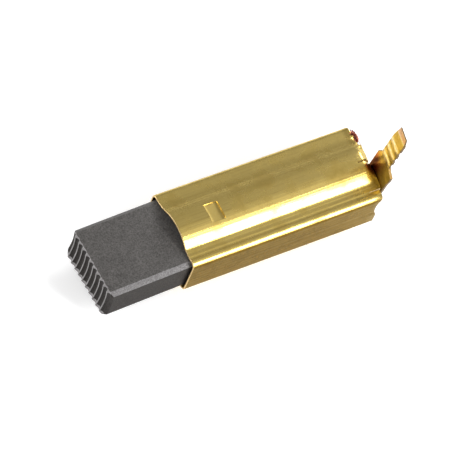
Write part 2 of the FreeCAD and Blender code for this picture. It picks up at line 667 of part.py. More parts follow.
def make_terminal():
    """End plate with its shoulders and ribbed blade, cut from one piece of sheet."""
    body = new_body("terminal_blade")
    plate = new_sketch(body, "plate_outline", "YZ_Plane")
    half_blade = "(Sizes.blade_width / 2)"
    tip_edge = "(Sizes.blade_width / 2 - Sizes.tip_taper)"
    shoulder_top = "(Sizes.plate_shoulder + Sizes.shoulder_rise)"
    outline(
        plate,
        [
            ("-Sizes.plate_near", "-Sizes.plate_foot"), ("Sizes.plate_far", "-Sizes.plate_foot"),
            ("Sizes.plate_far", "Sizes.plate_shoulder"), (half_blade, shoulder_top),
            (half_blade, "Sizes.blade_top - Sizes.far_taper"), (tip_edge, "Sizes.blade_top"),
            (f"-{tip_edge}", "Sizes.blade_top"),
            (f"-{half_blade}", "Sizes.blade_top - Sizes.near_taper"),
            (f"-{half_blade}", shoulder_top), ("-Sizes.plate_near", "Sizes.plate_shoulder"),
        ],
    )
    pad(body, plate, "plate", "Sizes.plate_thickness")
    for face, x_front, x_cut in (
        ("front", "0", "Sizes.coin_depth"),
        ("rear", "Sizes.plate_thickness", "Sizes.plate_thickness - Sizes.coin_depth"),
    ):
        wedge = new_sketch(body, f"{face}_coin_outline", "XZ_Plane")
        outline(
            wedge,
            [
                (x_front, "Sizes.blade_top - Sizes.coin_length"),
                (x_cut, "Sizes.blade_top"),
                (x_front, "Sizes.blade_top"),
            ],
        )
        cut(body, wedge, f"{face}_coin")
    # The near shoulder is flattened towards its edge
    edge_wedge = new_sketch(body, "shoulder_wedge", "XY_Plane", raised="Sizes.flat_low")
    outline(
        edge_wedge,
        [
            ("0", "Sizes.flat_width - Sizes.plate_near"), ("0", "-Sizes.plate_near"),
            ("Sizes.flat_depth", "-Sizes.plate_near"),
        ],
    )
    cut(body, edge_wedge, "flattened_shoulder", "Sizes.plate_shoulder", reverse=True)

    # The ribs are pressed through the blade: raised in front, hollow behind
    rib_hollow = new_sketch(body, "rib_hollow_section", "XZ_Plane")
    rib_arch(rib_hollow, "Sizes.plate_thickness")
    hollow_cut = cut(body, rib_hollow, "rib_hollow")
    repeat_ribs(body, "rib_hollows", rib_hollow, hollow_cut)
    rib = new_sketch(body, "rib_section", "XZ_Plane")
    rib_arch(rib, "0")
    rib_pad = body.newObject("PartDesign::Pad", "rib")
    rib_pad.Profile = rib
    rib_pad.setExpression("Length", "Sizes.blade_width - 2 * Sizes.rib_inset")
    rib_pad.Midplane = True
    doc.recompute()
    repeat_ribs(body, "ribs", rib, rib_pad)
    body.setExpression(
        "Placement",
        f"placement(vector({PLATE_X}; -Sizes.plate_y; {HALF_HEIGHT});"
        " rotation(-Sizes.plate_yaw; Sizes.plate_lean; Sizes.plate_roll))",
    )
    return body


def sweep(name, path, section, coiled=False):
    """A section along a path, as a plain solid."""
    item = doc.addObject("Part::Feature", name)
    item.Label = name
    item.Shape = path.makePipeShell([section], True, coiled)
    item.Placement = FreeCAD.Placement()
    return item


def make_spring():
    """Coil spring with closed end coils, between the carbon and the seat flap."""
    wire = size("Sizes.wire_diameter")
    radius = size("Sizes.spring_radius")
    gap = size("Sizes.end_gap")
    first = size(CARBON_REAR) + gap + wire / 2
    last = size(SEAT_X) - gap - wire / 2
    closed = size("Sizes.closed_pitch")
    coils = size("Sizes.coil_count")
    open_length = last - first - 2 * closed
    runs = (
        (closed, closed, 0.0),
        (open_length / coils, open_length, closed),
        (closed, closed, closed + open_length),
    )
    edges = []
    for pitch, length, along_axis in runs:
        helix = Part.makeHelix(pitch, length, radius)
        turn = 360 * coils if along_axis > closed else 0
        helix.rotate(V(0, 0, 0), V(0, 0, 1), turn)
        helix.translate(V(0, 0, along_axis))
        edges += helix.Edges
    path = Part.Wire(edges)
    sides = int(size("Sizes.wire_sides"))
    corners = []
    for number in range(sides + 1):
        turn = 2 * math.pi * (number + 0.5) / sides
        corners.append(V(radius + wire / 2 * math.cos(turn), 0, wire / 2 * math.sin(turn)))
    spring = sweep("compression_spring", path, Part.makePolygon(corners), coiled=True)
    spring.Placement = FreeCAD.Placement(V(first, 0, 0), FreeCAD.Rotation(V(0, 1, 0), 90))
    return spring


def rounded_path(points, radii):
    """Straight runs between points, joined by arcs of the given radii."""
    edges = []
    start = points[0]
    for before, corner, after, radius in zip(points, points[1:], points[2:], radii):
        into = (before - corner).normalize()
        out = (after - corner).normalize()
        half = math.acos(max(-1.0, min(1.0, into.dot(out)))) / 2
        reach = radius / math.tan(half)
        middle = (into + out).normalize()
        centre = corner + middle * (radius / math.sin(half))
        arc_start = corner + into * reach
        arc_end = corner + out * reach
        arc_middle = centre - middle * radius
        edges.append(Part.LineSegment(start, arc_start).toShape())
        edges.append(Part.Arc(arc_start, arc_middle, arc_end).toShape())
        start = arc_end
    edges.append(Part.LineSegment(start, points[-1]).toShape())
    return Part.Wire(edges)


def make_braid():
    """Copper shunt: out of the carbon, through the spring, over the seat and out."""
    lean = math.radians(size(LEAN))
    shift = size(CARBON_SHIFT)
    direction = V(math.cos(lean), math.sin(lean), 0)
    inner_end = size(CARBON_REAR) - size("Sizes.braid_hold")
    mouth = size(CARBON_REAR) + size("Sizes.braid_diameter")

    def on_carbon_axis(x):
        return V(x, shift + x * math.tan(lean), 0)

    seat_x = size(SEAT_X)
    reach = size("Sizes.braid_diameter") / 2
    over_seat = size("Sizes.seat_top") + reach + size("Sizes.braid_over")
    behind_seat = (seat_x + size("Sizes.wall") + size(LIP_X)) / 2
    level = size("Sizes.braid_level")
    outside = size("Sizes.tube_length") + size("Sizes.braid_reach")
    wide, tight = size("Sizes.wide_bend"), size("Sizes.tight_bend")
    points = [
        on_carbon_axis(inner_end),
        on_carbon_axis(mouth + 3 * reach),
        V(seat_x - size("Sizes.braid_rise"), 0, reach / 2),
        V(seat_x - reach / 2, 0, over_seat),
        V(behind_seat, 2 * reach, level),
        V(behind_seat, size("Sizes.braid_exit"), level),
        V(outside, size("Sizes.braid_turn"), level),
        V(outside, size("Sizes.braid_out"), level),
    ]
    path = rounded_path(points, [wide, wide, tight, tight, tight, tight])
    section = Part.Wire([Part.Circle(points[0], direction, reach).toShape()])
    return sweep("shunt_braid", path, section)


parts = [
    make_carbon(), make_plug(), make_sleeve(), make_terminal(), make_spring(), make_braid(),
]
doc.recompute()

for item in doc.Objects:
    if "Invalid" in item.State or "Error" in item.State:
        raise RuntimeError(f"{item.Label} failed: {item.State}")
os.makedirs("parts", exist_ok=True)
for part in parts:
    shape = part.Shape
    if shape.isNull() or not shape.isValid():
        raise RuntimeError(f"{part.Label} has no valid shape")
    shape.exportStep(f"parts/{part.Label}.step")
    box = shape.BoundBox
    print(f"{part.Label}: {len(shape.Solids)} solid, {shape.Volume:.2f} mm3, {box}")
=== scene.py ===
import math
import random

import bmesh
import bpy
from bpy.props import FloatProperty, FloatVectorProperty, PointerProperty
from mathutils import Matrix, Vector, noise


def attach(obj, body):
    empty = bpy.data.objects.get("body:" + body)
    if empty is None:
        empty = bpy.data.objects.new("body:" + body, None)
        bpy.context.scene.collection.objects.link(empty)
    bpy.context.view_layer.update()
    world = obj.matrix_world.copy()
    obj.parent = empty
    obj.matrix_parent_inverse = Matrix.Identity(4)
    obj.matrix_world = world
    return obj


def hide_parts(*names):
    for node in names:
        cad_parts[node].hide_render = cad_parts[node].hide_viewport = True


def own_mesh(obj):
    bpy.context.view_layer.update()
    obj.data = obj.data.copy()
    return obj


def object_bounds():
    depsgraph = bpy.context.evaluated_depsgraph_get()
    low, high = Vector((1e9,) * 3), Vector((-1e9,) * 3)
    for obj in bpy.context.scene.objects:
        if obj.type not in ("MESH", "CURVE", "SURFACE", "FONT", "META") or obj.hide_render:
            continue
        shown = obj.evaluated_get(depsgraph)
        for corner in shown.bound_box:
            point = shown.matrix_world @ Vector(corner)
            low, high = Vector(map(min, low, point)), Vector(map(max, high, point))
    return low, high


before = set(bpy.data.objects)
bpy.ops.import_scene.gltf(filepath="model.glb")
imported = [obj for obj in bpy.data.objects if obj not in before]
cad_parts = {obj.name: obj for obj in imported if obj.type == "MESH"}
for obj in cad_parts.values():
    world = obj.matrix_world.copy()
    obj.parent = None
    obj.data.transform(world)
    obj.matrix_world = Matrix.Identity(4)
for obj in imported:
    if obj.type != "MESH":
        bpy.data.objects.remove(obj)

CAD_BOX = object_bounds()

bl_info = {
    "name": "Carbon brush dressing",
    "version": (1, 0, 0),
    "blender": (4, 5, 0),
    "location": "View3D > Sidebar > Carbon brush",
    "description": "Folds the brass sleeve, presses the carbon and lights them as in a studio",
    "category": "Object",
}

# Pieces are modelled in millimetres and made metres when they are finished
MM = 0.001
IMAGE_PIXELS = 455
SENSOR = 36.0

# The photograph's camera, fitted to the edges of the sleeve and the carbon: its axes as rows
CAMERA_RIGHT = Vector((0.85973, -0.45951, 0.22296))
CAMERA_DOWN = Vector((-0.30917, -0.81569, -0.48894))
CAMERA_FORWARD = Vector((0.40654, 0.35142, -0.84334))
CAMERA_PLACE = Vector((-196.73, -178.58, 426.49)) * MM
FOCAL_PIXELS = 3712.0

# The sleeve, which repeats the source's sizes
HALF_WIDTH = 6.05
HALF_HEIGHT = 3.55
CORNER = 0.85
CROWN = 4.95
SEAM_HALF = 0.06
NEAR_CREASE = 1.0
FAR_CREASE = 3.9
TUBE_END = 30.15
STRIP_END = 30.8
SLOT_NEAR = -0.45
SLOT_FAR = -0.12
NEAR_SLIT = -4.5
SEAT_X = 29.7
SEAT_TOP = 1.6
LIP_X = 31.0
LIP_OUTER = 3.05
LIP_LOW = 0.9
MARK_X = (4.975, 7.125)
MARK_Y = 1.475
MARK_RIMS = (0.03, 0.07)
MARK_SAG = 0.04
MOUTH_ROUND = 0.09
# The hollow end of a narrow wall: its circle's centre in X and Z, and its radius
NOTCH = (33.1, 1.1, 3.6)
# The arcs that the two flaps' folds follow: their radius, and their centres in Y and Z
BAND_RADIUS = 6.0
NEAR_BAND = (-1.329, -5.9)
FAR_BAND = (1.968, -2.114)
# The near flap's two ends across the plate and its low edge, in the plate's frame
NEAR_FLAP = (1.75, -2.35)
NEAR_FLAP_LOW = -4.8
PLATE_GAP = 0.03
# Where its arc ends towards the near side, and the height at which its fold goes on from there
NEAR_BAND_END, NEAR_BAND_LOW = -1.3, 0.1
NEAR_BEND_X, FAR_BEND_X = 29.72, 29.78
FOLD_ROUND = 0.22
FLAP_ROWS = 11
STRIP_ROWS = 8
STRIP_START = 29.4
FAR_FLAP_EDGE = 3.7
SEAT_HALF = 3.4
# Kinds of column that the sheet is cut apart between at the rear
SLITS = ({"near", "end"}, {"seat", "end"})
# Material slots of the two brass pieces after their skin: cut edges, and what a tool worked
CUT_EDGE, WORKED = 1, 2

# The terminal plate's own frame: its front face is the plane of Y and Z, rear is +X
PLATE_PLACE = Vector((31.02, -2.2, 3.55))
PLATE_TURN = (
    Matrix.Rotation(math.radians(-9), 4, "Z")
    @ Matrix.Rotation(math.radians(2), 4, "Y")
    @ Matrix.Rotation(math.radians(4), 4, "X")
)
PLATE_FRAME = Matrix.Translation(PLATE_PLACE) @ PLATE_TURN
PLATE_NEAR, PLATE_FAR = -2.6, 2.0
PLATE_FOOT = -5.2
SHOULDERS = (3.1, 4.05)
TAB_HALF = 1.4
TAB_TOP = 11.7
# The tip is coined thinner from this height on, and loses this share of its sheet
COINED_FROM, COINED_SHARE = 10.6, 0.62
CORNER_BEND = 0.17
RIB_HALF = 0.55
RIBS = (4.62, 6.4, 8.18)
RIB_SLANT = 0.14

# The carbon, which leans in the sleeve by what its play allows
CARBON_FRONT = 12.8
CARBON_REAR = 10.2
CARBON_HALF = (5.5, 3.05)
CONTACT_RADIUS = 16.0
SIDE_BEVEL = 0.55
FRONT_BEVEL = 0.28
REAR_BEVEL = 0.3
SOCKET_RADIUS = 1.6
GROOVE_COUNT = 11
GROOVE_DEPTH = 0.36
LEAN_FRAME = Matrix.Translation((0, 0.0037, 0)) @ Matrix.Rotation(math.radians(1.4395), 4, "Z")

# The spring, and the shunt with the radius that its strands fill, laid and crushed
SPRING_ENDS = (10.4, 29.25)
COIL_RADIUS = 3.95
OPEN_COILS = 8
CLOSED_PITCH = 0.6
WIRES = 8
LAID_RADIUS = 0.44
CRUSHED_RADIUS = 0.475
SHUNT_NIP = (29.3, 0.02, 2.5)
SHUNT_LAID = [
    (6.6, 0.2, 0), (8.5, 0.225, 0), (11.0, 0.27, 0), (15, 0.25, 0), (20, 0.1, 0.05),
    (23.4, 0, 0.2), (26.5, 0, 1.3), (28.6, 0, 2.35), SHUNT_NIP,
]
SHUNT_CRUSHED = [
    SHUNT_NIP, (29.9, 0.35, 2.65), (30.25, 1.2, 2.72), (30.25, 2.6, 2.75),
    (30.4, 3.35, 2.8), (31.05, 3.75, 2.95), (31.28, 4.3, 3.0), (31.2, 5.1, 3.0),
]
STRAY_WIRE = [(31.25, 3.5, 3.1), (31.5, 3.3, 3.0), (31.65, 3.0, 2.75), (31.7, 2.75, 2.7)]
# The box in which the frayed wires stay: its low and its high corner
FRAY_LOW, FRAY_HIGH = (31.1, 2.85, 2.5), (31.5, 5.35, 3.5)

# Settings that several nodes share
RGBA = {"data_type": "RGBA"}
SOFT_STEP = {"interpolation_type": "SMOOTHSTEP"}
LARGER = {"operation": "MAXIMUM"}

WORLD_STRENGTH = 0.39
CARD_GLOW = 0.3
LIT_POINT = Vector((0.010, 0, 0))
# Each softbox: its direction, its distance, width and height in metres, and its watts
SOFTBOXES = {
    "near_strip_light": ((0.41, -0.67, 0.61), 0.4, 0.09, 0.18, 0.72),
    "low_near_light": ((0.41, -0.885, 0.22), 0.4, 0.07, 0.26, 0.84),
    "glow_panel": ((0.41, -0.3, 0.85), 0.45, 0.3, 0.15, 0.042),
    "wide_glow_panel": ((0.41, -0.14, 0.9), 0.46, 0.3, 0.3, 0.034),
    "rear_softbox": ((0.82, 0.36, 0.45), 0.5, 0.2, 0.2, 1.3),
    "far_softbox": ((-0.5, 0.75, 0.43), 0.5, 0.2, 0.2, 0.55),
    "front_softbox": ((-0.85, -0.35, 0.32), 0.45, 0.2, 0.16, 0.6),
    "rib_light": ((-0.82, 0.5, 0.28), 0.45, 0.16, 0.18, 0.35),
}


def spread(start, end, steps):
    """Evenly spaced values from start to end, both included."""
    return [start + (end - start) * number / steps for number in range(steps + 1)]


def smooth(value, low, high):
    """0 below low, 1 above high and a soft step between."""
    share = max(0.0, min(1.0, (value - low) / (high - low)))
    return share * share * (3 - 2 * share)


def arc(centre_y, centre_z, radius, start, end, steps):
    """Points of an arc in a section, its angles in degrees from +Y towards +Z."""
    turns = [math.radians(turn) for turn in spread(start, end, steps)]
    return [(centre_y + radius * math.cos(t), centre_z + radius * math.sin(t)) for t in turns]


# ---- mesh work as by hand

def deselect_all():
    """Leaves edit mode, and selects nothing."""
    if bpy.context.object and bpy.context.object.mode != "OBJECT":
        bpy.ops.object.mode_set(mode="OBJECT")
    bpy.ops.object.select_all(action="DESELECT")


def select(*objects):
    """Selects objects and nothing else, the first one active."""
    deselect_all()
    for obj in objects:
        obj.select_set(True)
    bpy.context.view_layer.objects.active = objects[0]


def edit(obj):
    """Opens a piece in edit mode, with all of it selected."""
    select(obj)
    bpy.ops.object.mode_set(mode="EDIT")
    bpy.ops.mesh.select_all(action="SELECT")


def leave_edit():
    """Goes back to object mode."""
    bpy.ops.object.mode_set(mode="OBJECT")


def apply_modifier(obj, kind, **settings):
    """Adds a modifier with its settings and applies it."""
    select(obj)
    modifier = obj.modifiers.new(kind.lower(), kind)
    for key, value in settings.items():
        setattr(modifier, key, value)
    bpy.ops.object.modifier_apply(modifier=modifier.name)


def round_edges(obj, width, angle, material):
    """Rounds the edges that turn by more than an angle, and gives them a material slot."""
    apply_modifier(
        obj, "BEVEL", width=width, segments=2, limit_method="ANGLE",
        angle_limit=math.radians(angle), use_clamp_overlap=True, material=material,
    )


def coat(obj, *materials):
    """Gives a piece its material slots, in this order."""
    for material in materials:
        obj.data.materials.append(material)


def pick_faces(obj, test):
    """In edit mode, selects the faces that pass a test on their BMesh face."""
    bpy.ops.mesh.select_mode(type="FACE")
    bpy.ops.mesh.select_all(action="DESELECT")
    mesh = bmesh.from_edit_mesh(obj.data)
    found = [face for face in mesh.faces if test(face)]
    for face in found:
        face.select = True
    bmesh.update_edit_mesh(obj.data)
    if not found:
        raise RuntimeError(f"{obj.name}: no faces found to work on")


def sheet_blank(name, columns, rows, place, keep=None):
    """A flat grid, folded: place gives where each crossing goes, keep which faces stay."""
    deselect_all()
    bpy.ops.mesh.primitive_grid_add(x_subdivisions=columns, y_subdivisions=rows, size=2)
    obj = bpy.context.object
    obj.name = name
    mesh = obj.data
    spots = [
        (round((v.co.x + 1) / 2 * columns), round((v.co.y + 1) / 2 * rows)) for v in mesh.vertices
    ]
    waste = set()
    for face in mesh.polygons:
        column = min(spots[v][0] for v in face.vertices)
        row = min(spots[v][1] for v in face.vertices)
        if keep and not keep(column, row):
            waste.add(face.index)
    for vertex, (column, row) in zip(mesh.vertices, spots):
        vertex.co = place(column, row)
    if waste:
        edit(obj)
        pick_faces(obj, lambda face: face.index in waste)
        bpy.ops.mesh.delete(type="FACE")
        leave_edit()
    return obj


def face_outwards(obj, test):
    """Recalculates the normals, and turns them if the face that a test finds looks inwards."""
    edit(obj)
    bpy.ops.mesh.normals_make_consistent(inside=False)
    leave_edit()
    if not test(obj.data):
        edit(obj)
        bpy.ops.mesh.flip_normals()
        leave_edit()


def finish_piece(obj, body, replaced=(), placed=None, smooth_angle=35):
    """Smooths a piece, puts its place in its mesh, makes it metres and ties it to its body."""
    select(obj)
    bpy.ops.object.transform_apply(location=True, rotation=True, scale=True)
    bpy.ops.object.shade_smooth_by_angle(angle=math.radians(smooth_angle))
    if placed is not None:
        obj.data.transform(placed)
    obj.data.transform(Matrix.Scale(MM, 4))
    obj.data.update()
    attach(obj, body)
    if replaced:
        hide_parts(*replaced)


# ---- the folded sleeve

def crease_middle(radius):
    """How far from the axis a crease between the crown and a flat has its middle."""
    return math.sqrt((CROWN + radius) ** 2 - (HALF_HEIGHT + radius) ** 2)


def upper_section():
    """The sleeve's outer skin from the seam in the far wall over the top to the near wall."""
    corner_y, corner_z = HALF_WIDTH - CORNER, HALF_HEIGHT - CORNER
    far_y, near_y = crease_middle(FAR_CREASE), -crease_middle(NEAR_CREASE)
    far_turn = math.degrees(math.atan2(-(HALF_HEIGHT + FAR_CREASE), -far_y))
    near_turn = math.degrees(math.atan2(-(HALF_HEIGHT + NEAR_CREASE), -near_y))
    crown_from, crown_to = far_turn + 180, near_turn + 180
    points = [(HALF_WIDTH, z) for z in (SEAM_HALF, 0.5, 1.0, 1.5, 1.95, 2.3, 2.4)]
    points += arc(corner_y, corner_z, CORNER, 0, 90, 7)
    points += [(5.05, HALF_HEIGHT), (4.9, HALF_HEIGHT)]
    points += arc(far_y, HALF_HEIGHT + FAR_CREASE, FAR_CREASE, -90, far_turn, 6)
    edge_turns = [
        math.degrees(math.acos(y / CROWN)) for y in (MARK_Y, SLOT_FAR, SLOT_NEAR, -MARK_Y)
    ]
    stops = [crown_from, *edge_turns, crown_to]
    for start, end in zip(stops, stops[1:]):
        steps = max(2, round((end - start) / 4))
        points += arc(0, 0, CROWN, start, end, steps)[1:]
    points += arc(near_y, HALF_HEIGHT + NEAR_CREASE, NEAR_CREASE, near_turn, -90, 4)[1:]
    # The folding tool has left two shallow grooves along the near flat
    points += [
        (y, HALF_HEIGHT - dip)
        for y, dip in (
            (-3.94, 0.02), (-4.12, 0.075), (-4.3, 0.04), (NEAR_SLIT, 0.06),
            (NEAR_SLIT - 0.13, 0.105), (-4.8, 0.125), (-4.95, 0.06), (-5.08, 0.01),
        )
    ]
    points += arc(-corner_y, corner_z, CORNER, 90, 180, 7)
    points += [(-HALF_WIDTH, z) for z in spread(corner_z, 0, 8)[1:]]
    return points


def notch_end(z):
    """Where a narrow wall ends at a height: cut back in a hollow curve."""
    centre_x, centre_z, radius = NOTCH
    reach = radius**2 - (z - centre_z) ** 2
    return min(TUBE_END, centre_x - math.sqrt(reach)) if reach > 0 else TUBE_END


def curve_corner(before, corner, after, steps):
    """A quadratic curve round a corner of a fold."""
    return [
        before * (1 - t) ** 2 + corner * 2 * t * (1 - t) + after * t * t
        for t in spread(0, 1, steps)
    ]


def near_band(across):
    """Height of the near flap's fold over the terminal plate's Y, in the plate's frame."""
    centre_y, centre_z = NEAR_BAND
    if across < NEAR_BAND_END:
        return NEAR_BAND_LOW
    return centre_z + math.sqrt(BAND_RADIUS**2 - (across - centre_y) ** 2)


def flap_rows(bend, fold, low, lead, after_bend, after_fold):
    """The places along a flap: round its bend, on to its fold, round that and down."""
    slope = (fold - bend).normalized()
    first = curve_corner(bend - Vector((lead, 0, 0)), bend, bend + slope * after_bend, 3)
    second = curve_corner(fold - slope * FOLD_ROUND, fold, fold + after_fold, 3)
    middle = (first[-1] + second[0]) / 2
    return [*first, middle, *second, *[second[-1].lerp(low, t) for t in (0.3, 0.65, 1.0)]]


def near_flap_rows(y, z):
    """The near half of the crown: pressed down askew, then turned down before the plate."""
    share = (SLOT_NEAR - y) / (SLOT_NEAR - NEAR_SLIT)
    across = NEAR_FLAP[0] + (NEAR_FLAP[1] - NEAR_FLAP[0]) * share
    bend = Vector((NEAR_BEND_X - 0.5 * smooth(share, 0.05, 0.8), y, z))
    fold = PLATE_FRAME @ Vector((-PLATE_GAP, across, near_band(across)))
    low = PLATE_FRAME @ Vector((-PLATE_GAP, across, NEAR_FLAP_LOW))
    return flap_rows(bend, fold, low, 0.3, 0.3, (low - fold).normalized() * 0.3)


def far_flap_rows(y, z):
    """The far half of the crown: pressed down to the strip, and turned down at the braid."""
    outward = smooth(y, 1.8, 3.7)
    crumple = noise.noise(Vector((y * 2.3, 3.1, 0.4))) * smooth(y, 0.2, 1.2)
    bend = Vector((FAR_BEND_X + 0.12 * outward + 0.32 * crumple, y, z))
    band = FAR_BAND[1] + math.sqrt(BAND_RADIUS**2 - (y - FAR_BAND[0]) ** 2)
    ripple = noise.noise(Vector((y * 2.9, 1.3, 7.7))) * smooth(y, 0.5, 2.0)
    fold = Vector((LIP_X - 0.26 * outward + 0.14 * ripple, y, band - 0.1 * outward + 0.3 * ripple))
    low = Vector((LIP_X - 0.04, y, LIP_LOW + 0.12 * math.sin(y * 2.1)))
    return flap_rows(bend, fold, low, 0.35, 0.4, Vector((0, 0, -0.25)))


def seat_rows(y, z):
    """The lower crown: turned up behind the spring."""
    corner = Vector((SEAT_X, y, z))
    top = Vector((SEAT_X, y, SEAT_TOP))
    bend = curve_corner(corner - Vector((0.5, 0, 0)), corner, corner + Vector((0, 0, 0.5)), 4)
    return [*bend, *[bend[-1].lerp(top, t) for t in spread(0, 1, 7)[1:]]]


def sleeve_rows(y, z, top):
    """A column behind its last straight row: its places, how many are real, and its kind."""
    if top and NEAR_SLIT - 0.01 <= y <= SLOT_NEAR + 0.01 and z > 2:
        return near_flap_rows(y, z), FLAP_ROWS, "near"
    if top and SLOT_FAR - 0.01 <= y < FAR_FLAP_EDGE:
        return far_flap_rows(y, z), FLAP_ROWS if y < LIP_OUTER else STRIP_ROWS, "far"
    if top and y > FAR_FLAP_EDGE and z > 2.35:
        xs = spread(STRIP_START, STRIP_END, STRIP_ROWS) + [STRIP_END] * (FLAP_ROWS - STRIP_ROWS)
        return [Vector((x, y, z)) for x in xs], STRIP_ROWS, "strip"
    if not top and abs(y) < SEAT_HALF:
        return seat_rows(y, z), FLAP_ROWS, "seat"
    end = Vector((notch_end(z) if abs(y) > HALF_WIDTH - CORNER else TUBE_END, y, z))
    return [end] * (FLAP_ROWS + 1), 0, "end"


def fold_sleeve(sizes):
    """One sheet of brass, folded round the section, closed by its flaps and stamped."""
    upper = upper_section()
    lower = [(y, -z) for y, z in reversed(upper[:-1])]
    section = [(y, z, True) for y, z in upper] + [(y, z, False) for y, z in lower]
    mark_rows = spread(*MARK_X, 4)
    tube_rows = [0, 0.14, 0.6, 1.5, 2.6, 3.7, 4.5, *mark_rows, 7.7, 8.8, *spread(10, 28, 9), 28.7]
    last = len(tube_rows)
    ends = [sleeve_rows(y, z, top) for y, z, top in section]

    def place(column, row):
        y, z, top = section[column]
        if row < last:
            return Vector((tube_rows[row], y, z))
        return ends[column][0][row - last]

    def keep(column, row):
        here, after = ends[column], ends[column + 1]
        kinds = {here[2], after[2]}
        if row < last:
            return row < last - 1 or kinds not in SLITS
        together = len(kinds) == 1 or kinds == {"far", "strip"}
        return together and row - last < min(here[1], after[1])

    obj = sheet_blank("folded_sleeve", len(section) - 1, last + FLAP_ROWS, place, keep)
    edit(obj)
    bpy.ops.mesh.delete_loose(use_verts=True, use_edges=True, use_faces=False)
    leave_edit()

    def crown_looks_up(mesh):
        tops = [f for f in mesh.polygons if f.center.z > CROWN - 0.05 and f.center.x < 20]
        return tops[0].normal.z > 0

    face_outwards(obj, crown_looks_up)
    # The sleeve's edges are bare brass, lightened further as a painted highlight
    edge = cut_brass("sheared_lit_brass_edge", "cut_edge_and_highlight", "tarnish")
    coat(obj, rolled_brass(), edge, pressed_brass())

    def in_mark(face):
        x, y, z = face.calc_center_median()
        return MARK_X[0] < x < MARK_X[1] and abs(y) < MARK_Y and z > 3

    edit(obj)
    pick_faces(obj, in_mark)
    for rim in MARK_RIMS:
        bpy.ops.mesh.inset(thickness=rim, depth=0)
    floor = CROWN - sizes.mark_depth / MM
    mesh = bmesh.from_edit_mesh(obj.data)
    for face in mesh.faces:
        if face.select:
            face.material_index = WORKED
            for vertex in face.verts:
                vertex.co.z = floor - MARK_SAG * (vertex.co.y / MARK_Y) ** 2
    bmesh.update_edit_mesh(obj.data)
    leave_edit()

    apply_modifier(
        obj, "SOLIDIFY", thickness=sizes.sheet / MM, offset=-1.0, use_even_offset=True,
        material_offset_rim=CUT_EDGE, use_quality_normals=True,
    )
    round_mouth(obj)
    round_edges(obj, sizes.edge_round / MM, 38, CUT_EDGE)
    apply_modifier(obj, "WEIGHTED_NORMAL", keep_sharp=True, weight=70)
    finish_piece(obj, "holder", ["brass_sleeve"])


def round_mouth(obj):
    """Rounds the sheet's two edges at the mouth, where the blank was deburred."""
    edit(obj)
    bpy.ops.mesh.select_mode(type="EDGE")
    bpy.ops.mesh.select_all(action="DESELECT")
    mesh = bmesh.from_edit_mesh(obj.data)
    for edge in mesh.edges:
        fronts = [face.normal.x < -0.9 for face in edge.link_faces]
        at_mouth = max(vertex.co.x for vertex in edge.verts) < 0.01
        if at_mouth and any(fronts) and not all(fronts):
            edge.select = True
    bmesh.update_edit_mesh(obj.data)
    bpy.ops.mesh.bevel(offset=MOUTH_ROUND, segments=3, clamp_overlap=True, material=CUT_EDGE)
    leave_edit()


# ---- the terminal

def plate_edges(z):
    """The near and the far edge of the terminal plate at a height, in its frame."""
    low, high = SHOULDERS
    if z <= low:
        return PLATE_NEAR, PLATE_FAR
    if z <= high:
        share = (z - low) / (high - low)
        near = PLATE_NEAR - (PLATE_NEAR + TAB_HALF) * share
        return near, PLATE_FAR - (PLATE_FAR - TAB_HALF) * share
    near = -TAB_HALF + 0.33 * max(0.0, (z - 10.2) / 1.5)
    far = TAB_HALF - 0.33 * max(0.0, (z - 9.1) / 2.6)
    return near, far


